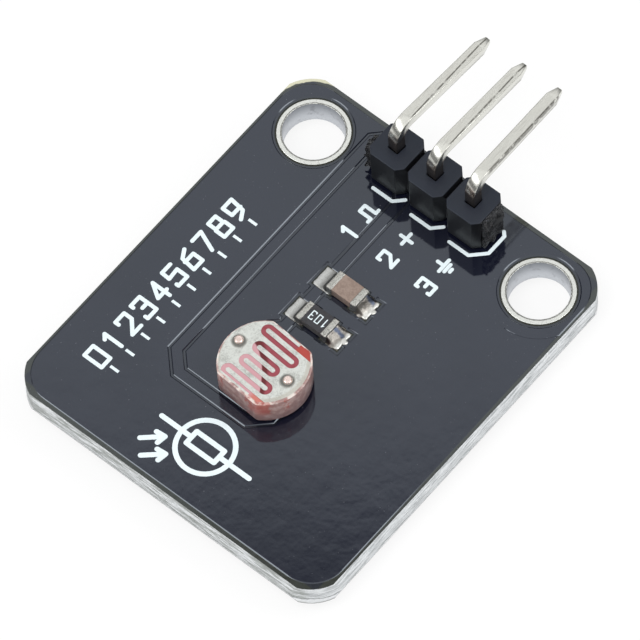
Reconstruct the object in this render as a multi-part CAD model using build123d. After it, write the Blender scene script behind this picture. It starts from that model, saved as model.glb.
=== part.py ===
from build123d import *
import math
import os

# Light sensor module: a small board with a photoresistor, a divider resistor, a capacitor and a
# three-pin angled header. Millimetres, +Z up out of the component side.
# The origin is midway between the two mounting holes, on the underside of the board.
# +X runs from the sensor to the header pins and +Y along the row of pins.

# Mounting holes
HOLE_SPACING = 15.0
HOLE_RADIUS = 1.65
HOLE_LAND_RING = 0.31
HOLE_BARREL_WALL = 0.16

# Board: the scored outline is not centred on the hole pair
BOARD_LENGTH = 23.6
BOARD_THICKNESS = 1.6
BOARD_EDGE_PAST_HOLES = 2.75
BOARD_SIDE_PAST_HOLES = 2.7
BOARD_SIDE_SHIFT = 0.12
CORNER_RADIUS = 2.5
ROUTED_MARGIN = 0.2
SCORE_DEPTH = 0.45
SCORE_LEAN = 0.12

# Copper and solder mask
COPPER_THICKNESS = 0.04
PLATING_WALL = 0.05
MASK_THICKNESS = 0.025
MASK_CLEARANCE = 0.08
COPPER_GAP = 0.26
TRACE_WIDTH = 0.48
TRACK_BEND = 45.0
SPOKE_WIDTH = 0.32
POUR_SIDE_MARGIN = 0.3
POUR_END_MARGIN = 0.2
POUR_CORNER_RADIUS = 1.9
KEEPOUT_MARGIN = 0.87
KEEPOUT_GROOVE = 0.1

# Pin header
PIN_PITCH = 2.54
PIN_SQUARE = 0.64
PIN_ROW_X = 0.87
PIN_BEND_RADIUS = 0.9
PIN_HEIGHT_ABOVE_HOUSING = 1.76
PIN_REACH = 7.05
PIN_TIP_LENGTH = 0.7
PIN_TIP_SQUARE = 0.3
PIN_SPLAY = (-2.6, -1.8, 0.0)
TAIL_LENGTH = 1.2
PIN_HOLE_CLEARANCE = 0.05
PIN_LAND_RING = 0.28
HOUSING_WIDTH = 2.38
HOUSING_HEIGHT = 2.54
HOUSING_STANDOFF = 0.2
CELL_CHAMFER_ALONG = 0.47
CELL_CHAMFER_ACROSS = 0.5
BREAK_GROOVE_WIDTH = 0.26
BREAK_GROOVE_DEPTH = 0.3
END_TRIM = 0.14
TORN_LIP_HEIGHT = 0.95
TORN_LIP_REACH = 0.28
TORN_LIP_POINTS = ((0.6, 0.3), (1.0, 0.0), (0.4, -0.35))

# Photoresistor
SENSOR_X = -12.68
SENSOR_Y = 0.17
SENSOR_TURN = -4.0
SENSOR_STANDOFF = 0.22
SENSOR_HEIGHT = 1.78
COAT_RADIUS = 2.45
COAT_FLAT_WIDTH = 4.11
COAT_CORNER_RADIUS = 0.4
COAT_OFFSET = (-0.075, -0.15)
COAT_WALL = 0.1
COAT_FOOT_CHAMFER = 0.15
PLATE_OFFSET = (0.05, 0.05)
DISC_THICKNESS = 1.2
FILM_THICKNESS = 0.03
ELECTRODE_THICKNESS = 0.03
LEAD_RADIUS = 0.27
LEAD_PROUD = 0.15
LEAD_TIP_CHAMFER = 0.08
LEAD_HOLE_SPACING = 3.4
LEAD_SPRING = 0.05
LEAD_HOLE_CLEARANCE = 0.15
LEAD_LAND_RING = 0.2
GAP_WIDTH = 0.25
GAP_MARGIN = 0.205
GAP_TOPS = (0.95, 0.64, 0.66, 0.99)
GAP_BOTTOMS = (-1.19, -0.76, -1.13)
GAP_SHIFT = -0.075
EDGE_STRIP_WIDTH = 0.1
EDGE_STRIP_END = -0.8

# Chip resistor and chip capacitor
CHIP_LENGTH = 2.0
CHIP_WIDTH = 1.22
CHIP_LIFT = 0.02
RESISTOR_X = -8.53
RESISTOR_Y = 0.12
RESISTOR_HEIGHT = 0.5
RESISTOR_GLAZE = 0.04
RESISTOR_END = 0.36
CAPACITOR_X = -6.25
CAPACITOR_Y = 0.0
CAPACITOR_HEIGHT = 0.62
CAPACITOR_END = 0.42
END_SKIN = 0.03
LAND_CENTRE_Y = 0.1
LAND_LENGTH = 1.14
LAND_PAST_CHIP = 0.17
LAND_TRIM = 0.02
TINNING = 0.03
FILLET_RISE = 0.8
FILLET_REACH = 0.85
FILLET_WAIST = (0.3, 0.38)

# Solder joints
JOINT_HEIGHT = 0.85
JOINT_NECK = 0.12
JOINT_WAIST = (0.25, 0.45)

# Routes of the two nets on the top face
SIGNAL_TRACE_Y = 1.36
SUPPLY_PAST_PINS = 1.2
SUPPLY_NEAR_CORNER = 0.57
SUPPLY_BESIDE_HOLE_LAND = 0.73
SUPPLY_PAST_SENSOR = 2.44
SUPPLY_FAR_CORNER = 0.96
SUPPLY_RETURN_CORNER = 0.88

# Radii, widths, heights and places worked out from the sizes above
BOARD_WIDTH = HOLE_SPACING + 2 * BOARD_SIDE_PAST_HOLES
HOLE_LAND_RADIUS = HOLE_RADIUS + HOLE_LAND_RING
KEEPOUT_RADIUS = HOLE_LAND_RADIUS + KEEPOUT_MARGIN
PIN_HOLE_RADIUS = PIN_SQUARE / math.sqrt(2) + PIN_HOLE_CLEARANCE
PIN_LAND_RADIUS = PIN_HOLE_RADIUS + PIN_LAND_RING
LEAD_SPACING = LEAD_HOLE_SPACING + LEAD_SPRING
LEAD_HOLE_RADIUS = LEAD_RADIUS + LEAD_HOLE_CLEARANCE
LEAD_LAND_RADIUS = LEAD_HOLE_RADIUS + LEAD_LAND_RING
PLATE_X = COAT_OFFSET[0] + PLATE_OFFSET[0]
PLATE_FLAT_WIDTH = COAT_FLAT_WIDTH - 2 * COAT_WALL
GAP_SPAN = PLATE_FLAT_WIDTH - 2 * GAP_MARGIN
GAP_PITCH = GAP_SPAN / (2 * len(GAP_TOPS) - 1)
GAP_FIRST_LEG = PLATE_X + GAP_SHIFT - GAP_SPAN / 2
GAP_LAST_LEG = PLATE_X + GAP_SHIFT + GAP_SPAN / 2
LAND_OFFSET = CHIP_LENGTH / 2 + LAND_PAST_CHIP
LAND_WIDTH = CHIP_WIDTH - LAND_TRIM
FILM_STACK = COPPER_THICKNESS + MASK_THICKNESS
CORE_BOTTOM = MASK_THICKNESS
CORE_TOP = BOARD_THICKNESS - FILM_STACK
COPPER_TOP = CORE_TOP + COPPER_THICKNESS
COPPER_BOTTOM = CORE_BOTTOM - COPPER_THICKNESS
BOARD_CENTRE_X = BOARD_EDGE_PAST_HOLES - BOARD_LENGTH / 2
BOARD_CENTRE = (BOARD_CENTRE_X, BOARD_SIDE_SHIFT)
HOLE_PLACES = [(0, side * HOLE_SPACING / 2) for side in (1, -1)]
PIN_PLACES = [(PIN_ROW_X, row * PIN_PITCH) for row in (1, 0, -1)]
LEAD_HOLE_PLACES = [(SENSOR_X, SENSOR_Y + side * LEAD_HOLE_SPACING / 2) for side in (1, -1)]
ROW_LENGTH = len(PIN_PLACES) * PIN_PITCH
HOUSING_BOTTOM = BOARD_THICKNESS + HOUSING_STANDOFF
HOUSING_TOP = HOUSING_BOTTOM + HOUSING_HEIGHT
SENSOR_BOTTOM = BOARD_THICKNESS + SENSOR_STANDOFF
DISC_TOP = SENSOR_BOTTOM + SENSOR_HEIGHT - FILM_THICKNESS - ELECTRODE_THICKNESS
CHIP_BOTTOM = COPPER_TOP + TINNING + CHIP_LIFT
LAND_SIDES = (1, -1)


def scored_outline(past=0.0):
    """Straight-sided outline between the score lines, let out by a margin."""
    return Pos(*BOARD_CENTRE) * Rectangle(BOARD_LENGTH + 2 * past, BOARD_WIDTH + 2 * past)


def routed_outline():
    """Rounded outline that the router cut round the corners, just outside the score lines."""
    length = BOARD_LENGTH + 2 * ROUTED_MARGIN
    width = BOARD_WIDTH + 2 * ROUTED_MARGIN
    return Pos(*BOARD_CENTRE) * RectangleRounded(length, width, CORNER_RADIUS)


def board_face():
    """Outline of the board's faces: scored straight sides cut off by routed corner arcs."""
    return scored_outline() & routed_outline()


def raised(face, bottom, top):
    """Flat face stood up as a solid between two heights."""
    return extrude(Pos(0, 0, bottom) * face, amount=top - bottom)


def route(points, width):
    """Copper track of even width through a list of points, mitred where it bends by 45 degrees."""
    track = Sketch()
    mitre = width * math.tan(math.radians(TRACK_BEND) / 2)
    for (x1, y1), (x2, y2) in zip(points, points[1:]):
        length = math.hypot(x2 - x1, y2 - y1)
        turn = math.degrees(math.atan2(y2 - y1, x2 - x1))
        middle = Location(((x1 + x2) / 2, (y1 + y2) / 2, 0), (0, 0, turn))
        track += middle * Rectangle(length + mitre, width)
    return track


def discs(places, radius):
    """Equal round faces at a list of places."""
    return Sketch() + [Pos(x, y) * Circle(radius) for x, y in places]


def land_places(side):
    """Centres of the resistor's and the capacitor's soldering lands on one side."""
    y = LAND_CENTRE_Y + side * LAND_OFFSET
    return [(RESISTOR_X, y), (CAPACITOR_X, y)]


def lands(side, grow=0.0):
    """Rectangular copper lands of both chips on one side, grown by a margin."""
    outline = Rectangle(LAND_WIDTH + 2 * grow, LAND_LENGTH + 2 * grow)
    return Sketch() + [Pos(x, y) * outline for x, y in land_places(side)]


def signal_route():
    """Centre line of the signal net, from the first pin past both chips to the sensor."""
    pin_x, pin_y = PIN_PLACES[0]
    lead_x, lead_y = LEAD_HOLE_PLACES[0]
    fall = pin_y - SIGNAL_TRACE_Y
    rise = lead_y - SIGNAL_TRACE_Y
    return [
        (pin_x, pin_y),
        (pin_x - fall, SIGNAL_TRACE_Y),
        (RESISTOR_X - LAND_WIDTH, SIGNAL_TRACE_Y),
        (RESISTOR_X - LAND_WIDTH - rise, lead_y),
        (lead_x, lead_y),
    ]


def supply_route():
    """Centre line of the supply net, between the first pin and the first mounting hole, to its lead."""
    pin_x, pin_y = PIN_PLACES[1]
    lead_x, lead_y = LEAD_HOLE_PLACES[1]
    near_x = pin_x + SUPPLY_PAST_PINS
    side_y = HOLE_PLACES[0][1] - HOLE_LAND_RADIUS - SUPPLY_BESIDE_HOLE_LAND
    far_x = lead_x - SUPPLY_PAST_SENSOR
    return [
        (pin_x, pin_y),
        (near_x, pin_y + SUPPLY_PAST_PINS),
        (near_x, side_y - SUPPLY_NEAR_CORNER),
        (near_x - SUPPLY_NEAR_CORNER, side_y),
        (far_x + SUPPLY_FAR_CORNER, side_y),
        (far_x, side_y - SUPPLY_FAR_CORNER),
        (far_x, lead_y + SUPPLY_RETURN_CORNER),
        (far_x + SUPPLY_RETURN_CORNER, lead_y),
        (lead_x, lead_y),
    ]


def plated_lands(grow=0.0):
    """Faces of the round lands of all plated holes."""
    return (
        discs(HOLE_PLACES, HOLE_LAND_RADIUS + grow)
        + discs(PIN_PLACES, PIN_LAND_RADIUS + grow)
        + discs(LEAD_HOLE_PLACES, LEAD_LAND_RADIUS + grow)
    )


def spokes(x, y, reach, grow):
    """Cross of four copper spokes that ties a ground land to the pour."""
    across = Rectangle(2 * reach, SPOKE_WIDTH + 2 * grow)
    along = Rectangle(SPOKE_WIDTH + 2 * grow, 2 * reach)
    return Pos(x, y) * (across + along)


def pour_outline(grow):
    """Outline of the ground pour, held back from the board's sides."""
    length = BOARD_LENGTH - 2 * POUR_SIDE_MARGIN + 2 * grow
    width = BOARD_WIDTH - 2 * POUR_END_MARGIN + 2 * grow
    return Pos(*BOARD_CENTRE) * RectangleRounded(length, width, POUR_CORNER_RADIUS + grow)


def signal_face(grow=0.0):
    """Top copper of the signal net: its track, two round lands and the chips' lands."""
    track = route(signal_route(), TRACE_WIDTH + 2 * grow)
    pin_land = discs(PIN_PLACES[:1], PIN_LAND_RADIUS + grow)
    lead_land = discs(LEAD_HOLE_PLACES[:1], LEAD_LAND_RADIUS + grow)
    return track + lands(1, grow) + pin_land + lead_land


def supply_face(grow=0.0):
    """Top copper of the supply net: its track and two round lands."""
    track = route(supply_route(), TRACE_WIDTH + 2 * grow)
    pin_land = discs(PIN_PLACES[1:2], PIN_LAND_RADIUS + grow)
    lead_land = discs(LEAD_HOLE_PLACES[1:], LEAD_LAND_RADIUS + grow)
    return track + pin_land + lead_land


def keepout_groove(grow):
    """Narrow arc cut in the pour beside the second mounting hole."""
    x, y = HOLE_PLACES[1]
    ring = Circle(KEEPOUT_RADIUS - grow) - Circle(KEEPOUT_RADIUS - KEEPOUT_GROOVE + grow)
    quadrant = Pos(-KEEPOUT_RADIUS / 2, -KEEPOUT_RADIUS / 2) * Rectangle(KEEPOUT_RADIUS, KEEPOUT_RADIUS)
    return Pos(x, y) * (ring & quadrant)


def ground_face(grow=0.0):
    """Top ground pour with gaps round the other nets and spokes to its own lands."""
    gap = COPPER_GAP - grow
    cleared = route(signal_route(), TRACE_WIDTH + 2 * gap) + route(supply_route(), TRACE_WIDTH + 2 * gap)
    cleared += lands(1, gap) + lands(-1, gap) + plated_lands(gap) + keepout_groove(grow)
    tied = lands(-1, grow) + discs(PIN_PLACES[2:], PIN_LAND_RADIUS + grow)
    for x, y in land_places(-1):
        tied += spokes(x, y, LAND_LENGTH / 2 + 2 * COPPER_GAP, grow)
    tied += spokes(*PIN_PLACES[2], PIN_LAND_RADIUS + 2 * COPPER_GAP, grow)
    return (pour_outline(grow) - cleared) + (tied & pour_outline(grow))


def copper_face(grow=0.0):
    """Top copper of all three nets, grown by a margin."""
    return ground_face(grow) + signal_face(grow) + supply_face(grow)


def pin_hole(place):
    """Place, bore and land of one header pin's hole."""
    return place, PIN_HOLE_RADIUS, PIN_LAND_RADIUS


def lead_hole(place):
    """Place, bore and land of one sensor lead's hole."""
    return place, LEAD_HOLE_RADIUS, LEAD_LAND_RADIUS


def net_copper(face, holes):
    """Copper of one net: the etched top foil with its plated holes and their lands underneath."""
    copper = raised(face, CORE_TOP, COPPER_TOP)
    for place, bore_radius, land_radius in holes:
        barrel = raised(Circle(bore_radius + PLATING_WALL), COPPER_BOTTOM, CORE_TOP)
        land = raised(Circle(land_radius), COPPER_BOTTOM, CORE_BOTTOM)
        bore = raised(Circle(bore_radius), COPPER_BOTTOM, COPPER_TOP)
        copper = (copper + Pos(*place) * (barrel + land)) - Pos(*place) * bore
    return copper


def board_core():
    """Laminate with scored sides, routed corners and bores for the plated holes."""
    lean = math.degrees(math.atan2(SCORE_LEAN, SCORE_DEPTH))
    full = scored_outline(SCORE_LEAN)
    web = raised(full, CORE_BOTTOM + SCORE_DEPTH, CORE_TOP - SCORE_DEPTH)
    upper = extrude(Pos(0, 0, CORE_TOP - SCORE_DEPTH) * full, amount=SCORE_DEPTH, taper=lean)
    lower = extrude(Pos(0, 0, CORE_BOTTOM + SCORE_DEPTH) * full, amount=-SCORE_DEPTH, taper=lean)
    core = (web + upper + lower) & raised(routed_outline(), CORE_BOTTOM, CORE_TOP)
    bores = discs(HOLE_PLACES, HOLE_RADIUS + HOLE_BARREL_WALL)
    bores += discs(PIN_PLACES, PIN_HOLE_RADIUS + PLATING_WALL)
    bores += discs(LEAD_HOLE_PLACES, LEAD_HOLE_RADIUS + PLATING_WALL)
    return core - raised(bores, CORE_BOTTOM, CORE_TOP)


def solder_mask_top():
    """Top mask, low between the copper areas and up and over them, with windows over the lands."""
    copper = copper_face()
    openings = plated_lands(MASK_CLEARANCE) + lands(1, MASK_CLEARANCE) + lands(-1, MASK_CLEARANCE)
    covered = board_face() - openings
    flooded = discs(PIN_PLACES, PIN_LAND_RADIUS + COPPER_GAP)
    flooded += discs(LEAD_HOLE_PLACES, LEAD_LAND_RADIUS + COPPER_GAP)
    high = (copper_face(MASK_THICKNESS) + flooded) & covered
    mask = raised(covered - copper, CORE_TOP, CORE_TOP + MASK_THICKNESS)
    mask += raised(high - copper, CORE_TOP, COPPER_TOP)
    return mask + raised(high, COPPER_TOP, COPPER_TOP + MASK_THICKNESS)


def solder_mask_bottom():
    """Bottom mask with windows over the plated lands."""
    return raised(board_face() - plated_lands(MASK_CLEARANCE), CORE_BOTTOM - MASK_THICKNESS, CORE_BOTTOM)


def mounting_hole_rim(place):
    """Plated bore of a mounting hole with a tinned land on each face."""
    barrel = raised(Circle(HOLE_RADIUS + HOLE_BARREL_WALL), CORE_BOTTOM, CORE_TOP)
    upper = raised(Circle(HOLE_LAND_RADIUS), CORE_TOP, BOARD_THICKNESS)
    lower = raised(Circle(HOLE_LAND_RADIUS), COPPER_BOTTOM, CORE_BOTTOM)
    bore = raised(Circle(HOLE_RADIUS), COPPER_BOTTOM, BOARD_THICKNESS)
    return Pos(*place) * (barrel + upper + lower - bore)


def cell_outline():
    """Plan of one header cell: a rectangle with its four corners cut off."""
    x = HOUSING_WIDTH / 2
    y = PIN_PITCH / 2
    points = [
        (x, y - CELL_CHAMFER_ALONG),
        (x - CELL_CHAMFER_ACROSS, y),
        (CELL_CHAMFER_ACROSS - x, y),
        (-x, y - CELL_CHAMFER_ALONG),
        (-x, CELL_CHAMFER_ALONG - y),
        (CELL_CHAMFER_ACROSS - x, -y),
        (x - CELL_CHAMFER_ACROSS, -y),
        (x, CELL_CHAMFER_ALONG - y),
    ]
    return make_face(Polyline(*points, close=True))


def torn_lip(side):
    """Ragged lip that stands out where the strip was snapped off, on one end of the row."""
    neck = HOUSING_WIDTH - 2 * CELL_CHAMFER_ACROSS
    end_y = side * (ROW_LENGTH / 2 - END_TRIM)
    root = [(0, -TORN_LIP_HEIGHT / 2), (0, TORN_LIP_HEIGHT / 2)]
    ragged = [(TORN_LIP_REACH * out, TORN_LIP_HEIGHT * up) for out, up in TORN_LIP_POINTS]
    profile = make_face(Polyline(*root, *ragged, close=True))
    lip = extrude(Plane.YZ * profile, amount=neck / 2, both=True)
    if side < 0:
        lip = mirror(lip, about=Plane.XZ)
    return Pos(PIN_ROW_X, end_y, (HOUSING_BOTTOM + HOUSING_TOP) / 2) * lip


def break_groove(side):
    """V-shaped groove across the row between two cells, cut into the top or the underside."""
    half = BREAK_GROOVE_WIDTH / 2
    profile = make_face(Polyline((-half, 0), (0, -side * BREAK_GROOVE_DEPTH), (half, 0), close=True))
    return extrude(Plane.YZ * profile, amount=HOUSING_WIDTH, both=True)


def header_housing(pins):
    """Moulded strip of three cells with break grooves and snapped ends, gripping the pins."""
    row = Sketch() + [Pos(x, y) * cell_outline() for x, y in PIN_PLACES]
    trimmed = Pos(PIN_ROW_X, 0) * Rectangle(HOUSING_WIDTH, ROW_LENGTH - 2 * END_TRIM)
    housing = raised(row & trimmed, HOUSING_BOTTOM, HOUSING_TOP)
    for side in (1, -1):
        between = (PIN_ROW_X, side * PIN_PITCH / 2)
        housing -= Pos(*between, HOUSING_TOP) * break_groove(1)
        housing -= Pos(*between, HOUSING_BOTTOM) * break_groove(-1)
        housing += torn_lip(side)
    for pin in pins:
        housing -= pin
    return housing


def pin_tip():
    """Tapered end of a pin, pointing along +Z from its full square."""
    base = Rectangle(PIN_SQUARE, PIN_SQUARE)
    end = Pos(0, 0, PIN_TIP_LENGTH) * Rectangle(PIN_TIP_SQUARE, PIN_TIP_SQUARE)
    return loft([base, end])


def header_pin(place, splay):
    """Square pin: straight through the board and housing, then bent over the board's edge."""
    level = HOUSING_TOP + PIN_HEIGHT_ABOVE_HOUSING
    foot = -TAIL_LENGTH + PIN_TIP_LENGTH
    path = FilletPolyline(
        (0, 0, foot),
        (0, 0, level),
        (PIN_REACH - PIN_TIP_LENGTH, 0, level),
        radius=PIN_BEND_RADIUS,
    )
    wire = sweep(Pos(0, 0, foot) * Rectangle(PIN_SQUARE, PIN_SQUARE), path=path)
    tail = Pos(0, 0, foot) * Rot(180, 0, 0) * pin_tip()
    point = Pos(PIN_REACH - PIN_TIP_LENGTH, 0, level) * Rot(0, 90, 0) * pin_tip()
    return Pos(*place) * Rot(0, 0, splay) * (wire + tail + point)


def solder_joint(core, core_radius, place, hole_radius, land_radius):
    """Solder that fills a plated hole and climbs the tail of a pin or lead on the underside."""
    neck = core_radius + JOINT_NECK
    outwards, downwards = JOINT_WAIST
    start = (land_radius, COPPER_BOTTOM)
    waist = (neck + (land_radius - neck) * outwards, COPPER_BOTTOM - JOINT_HEIGHT * downwards)
    end = (neck, COPPER_BOTTOM - JOINT_HEIGHT)
    tip = (0, COPPER_BOTTOM - JOINT_HEIGHT)
    section = make_face(Polyline(start, waist, end, tip, (0, COPPER_BOTTOM), close=True))
    cone = revolve(Plane.XZ * section, axis=Axis.Z)
    fill = raised(Circle(hole_radius), COPPER_BOTTOM, COPPER_TOP)
    return Pos(*place) * (cone + fill) - core


def sensor_place(height=0.0):
    """Place and turn of the photoresistor on the board."""
    return Location((SENSOR_X, SENSOR_Y, height), (0, 0, SENSOR_TURN))


def flatted_disc(shrink=0.0):
    """Round face with two flats across the sensor's narrow way and rounded corners between them."""
    radius = COAT_RADIUS - shrink
    face = Circle(radius) & Rectangle(COAT_FLAT_WIDTH - 2 * shrink, 2 * radius)
    return Pos(*COAT_OFFSET) * fillet(face.vertices(), COAT_CORNER_RADIUS - shrink)


def plate_outline():
    """Outline of the ceramic plate, which sits a little off the middle of its resin cup."""
    return Pos(*PLATE_OFFSET) * flatted_disc(COAT_WALL)


def lead_faces(radius):
    """Round faces at the two lead places, in the sensor's own frame."""
    return discs([(0, side * LEAD_SPACING / 2) for side in (1, -1)], radius)


def sensor_disc():
    """Ceramic plate that carries the sensing film."""
    plate = raised(plate_outline() - lead_faces(LEAD_RADIUS), DISC_TOP - DISC_THICKNESS, DISC_TOP)
    return sensor_place() * plate


def sensor_film():
    """Light-sensitive film over the whole ceramic face."""
    film = raised(plate_outline() - lead_faces(LEAD_RADIUS), DISC_TOP, DISC_TOP + FILM_THICKNESS)
    return sensor_place() * film


def gap_line():
    """Serpentine centre line of the bare gap between the electrodes, in the sensor's own frame."""
    bend = GAP_PITCH / 2
    edge = 2 * COAT_RADIUS
    tops = list(GAP_TOPS)
    bottoms = [-edge] + list(GAP_BOTTOMS) + [-edge]
    lines = []
    for index, top in enumerate(tops):
        left = GAP_FIRST_LEG + 2 * index * GAP_PITCH
        right = left + GAP_PITCH
        lines.append(Line((left, bottoms[index]), (left, top)))
        lines.append(ThreePointArc((left, top), (left + bend, top + bend), (right, top)))
        lines.append(Line((right, top), (right, bottoms[index + 1])))
        if index < len(tops) - 1:
            low = bottoms[index + 1]
            far = right + GAP_PITCH
            lines.append(ThreePointArc((right, low), (right + bend, low - bend), (far, low)))
    return Wire(lines)


def beside_flat(side, width):
    """Band of a given width inside one flat of the plate, on the signal lead's side of the strip end."""
    flat_x = PLATE_X + side * PLATE_FLAT_WIDTH / 2
    band = Rectangle(2 * width, COAT_FLAT_WIDTH, align=(Align.CENTER, Align.MIN))
    return Pos(flat_x, EDGE_STRIP_END) * band


def sensor_electrodes():
    """Two interleaved metal films on the sensing film, parted by the serpentine gap."""
    gap = trace(gap_line(), line_width=GAP_WIDTH)
    bare_end = Pos(GAP_LAST_LEG, EDGE_STRIP_END) * Rectangle(
        COAT_RADIUS, COAT_FLAT_WIDTH, align=(Align.MIN, Align.MAX)
    )
    plate = plate_outline() - lead_faces(LEAD_RADIUS)
    face = plate - gap - bare_end + (plate & beside_flat(-1, EDGE_STRIP_WIDTH))
    bottom = DISC_TOP + FILM_THICKNESS
    halves = face.faces().sort_by(SortBy.AREA)[-2:]
    halves = sorted(halves, key=lambda half: half.center().Y, reverse=True)
    return [sensor_place() * raised(half, bottom, bottom + ELECTRODE_THICKNESS) for half in halves]


def sensor_coat():
    """Resin cup round the ceramic: flatted walls, chamfered foot and the fill below the plate."""
    outer = raised(flatted_disc(), SENSOR_BOTTOM, SENSOR_BOTTOM + SENSOR_HEIGHT)
    outer = chamfer(outer.faces().sort_by(Axis.Z)[0].edges(), COAT_FOOT_CHAMFER)
    pocket = raised(plate_outline(), DISC_TOP - DISC_THICKNESS, SENSOR_BOTTOM + SENSOR_HEIGHT)
    leads = raised(lead_faces(LEAD_RADIUS), SENSOR_BOTTOM, SENSOR_BOTTOM + SENSOR_HEIGHT)
    return sensor_place() * (outer - pocket - leads)


def sensor_lead(side):
    """Round wire lead with a bevelled tip that stands just proud of the sensing face."""
    top = SENSOR_BOTTOM + SENSOR_HEIGHT + LEAD_PROUD
    wire = raised(Circle(LEAD_RADIUS), -TAIL_LENGTH, top)
    wire = chamfer(wire.faces().sort_by(Axis.Z)[-1].edges(), LEAD_TIP_CHAMFER)
    return sensor_place() * Pos(0, side * LEAD_SPACING / 2) * wire


def chip_end(side, height, cap_length):
    """Metal cap folded over one end of a chip, centred on the chip's middle."""
    outer = Box(CHIP_WIDTH, cap_length, height)
    outer = chamfer(outer.edges(), END_SKIN / 2)
    inner = Box(CHIP_WIDTH - 2 * END_SKIN, cap_length, height - 2 * END_SKIN)
    return Pos(0, side * (CHIP_LENGTH - cap_length) / 2) * (outer - Pos(0, -side * END_SKIN) * inner)


def chip_core(height):
    """Body of a chip inside its two metal caps."""
    return Box(CHIP_WIDTH - 2 * END_SKIN, CHIP_LENGTH - 2 * END_SKIN, height - 2 * END_SKIN)


def chip_place(x, y, height):
    """Centre of a chip that sits on its lands."""
    return Pos(x, y, CHIP_BOTTOM + height / 2)


def resistor_glaze():
    """Dark glaze on top of the resistor between its end caps."""
    length = CHIP_LENGTH - 2 * RESISTOR_END
    lift = RESISTOR_HEIGHT / 2 - END_SKIN + RESISTOR_GLAZE / 2
    glaze = Pos(0, 0, lift) * Box(CHIP_WIDTH - 2 * END_SKIN, length, RESISTOR_GLAZE)
    return chip_place(RESISTOR_X, RESISTOR_Y, RESISTOR_HEIGHT) * glaze


def land_fillet(x, y, height, side):
    """Solder over one land: thin tinning, a bed under the chip and a slope up its end face."""
    land_y = LAND_CENTRE_Y + side * LAND_OFFSET
    tinned = raised(Pos(x, land_y) * Rectangle(LAND_WIDTH, LAND_LENGTH), COPPER_TOP, COPPER_TOP + TINNING)
    chip_end_y = y + side * CHIP_LENGTH / 2
    land_end_y = land_y + side * LAND_LENGTH / 2
    inner_y = land_y - side * LAND_LENGTH / 2
    bed_length = abs(chip_end_y - inner_y)
    bed = Pos(x, (chip_end_y + inner_y) / 2, CHIP_BOTTOM - CHIP_LIFT / 2) * Box(
        CHIP_WIDTH - 2 * END_SKIN, bed_length, CHIP_LIFT
    )
    top = CHIP_BOTTOM + FILLET_RISE * height
    base = COPPER_TOP + TINNING
    outwards, upwards = FILLET_WAIST
    foot_y = chip_end_y + FILLET_REACH * (land_end_y - chip_end_y)
    waist = (chip_end_y + outwards * (foot_y - chip_end_y), base + upwards * (top - base))
    curve = ThreePointArc((foot_y, base), waist, (chip_end_y, top))
    back = Polyline((chip_end_y, top), (chip_end_y, base), (foot_y, base))
    section = Plane.YZ * make_face([curve, back])
    slope = Pos(x, 0, 0) * extrude(section, amount=LAND_WIDTH / 2 - END_SKIN, both=True)
    return tinned + bed + slope


def build():
    """Every sub-part by its name."""
    splays = dict(zip(("output", "supply", "ground"), PIN_SPLAY))
    pins = {name: header_pin(place, splays[name]) for name, place in zip(splays, PIN_PLACES)}
    leads = {"signal": sensor_lead(1), "supply": sensor_lead(-1)}
    nodes = {
        "board_core": board_core(),
        "ground_copper": net_copper(ground_face(), [pin_hole(PIN_PLACES[2])]),
        "signal_copper": net_copper(signal_face(), [pin_hole(PIN_PLACES[0]), lead_hole(LEAD_HOLE_PLACES[0])]),
        "supply_copper": net_copper(supply_face(), [pin_hole(PIN_PLACES[1]), lead_hole(LEAD_HOLE_PLACES[1])]),
        "solder_mask_top": solder_mask_top(),
        "solder_mask_bottom": solder_mask_bottom(),
        "header_housing": header_housing(pins.values()),
        "sensor_disc": sensor_disc(),
        "sensor_film": sensor_film(),
        "sensor_coat": sensor_coat(),
    }
    for name, place in zip(("left", "right"), HOLE_PLACES):
        nodes[f"{name}_mounting_hole_rim"] = mounting_hole_rim(place)
    for (name, pin), place in zip(pins.items(), PIN_PLACES):
        nodes[f"{name}_pin"] = pin
        nodes[f"{name}_pin_solder"] = solder_joint(pin, PIN_SQUARE / 2, *pin_hole(place))
    for (name, lead), place in zip(leads.items(), LEAD_HOLE_PLACES):
        nodes[f"{name}_lead"] = lead
        nodes[f"{name}_lead_solder"] = solder_joint(lead, LEAD_RADIUS, *lead_hole(place))
    for name, electrode in zip(("signal", "supply"), sensor_electrodes()):
        nodes[f"{name}_electrode"] = electrode
    chips = {
        "resistor": (RESISTOR_X, RESISTOR_Y, RESISTOR_HEIGHT, RESISTOR_END),
        "capacitor": (CAPACITOR_X, CAPACITOR_Y, CAPACITOR_HEIGHT, CAPACITOR_END),
    }
    for chip, (x, y, height, cap_length) in chips.items():
        nodes[f"{chip}_body"] = chip_place(x, y, height) * chip_core(height)
        for end, side in zip(("signal", "ground"), LAND_SIDES):
            cap = chip_end(side, height, cap_length)
            nodes[f"{chip}_{end}_cap"] = chip_place(x, y, height) * cap
            nodes[f"{chip}_{end}_solder"] = land_fillet(x, y, height, side)
    nodes["resistor_glaze"] = resistor_glaze()
    return nodes


os.makedirs("parts", exist_ok=True)
for node_name, shape in build().items():
    export_step(shape, f"parts/{node_name}.step")
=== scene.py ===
import logging
import math
from dataclasses import dataclass
from enum import Enum
from functools import reduce
from typing import Callable, Iterable, Sequence

import bmesh
import bpy
from mathutils import Matrix, Vector, noise


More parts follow.
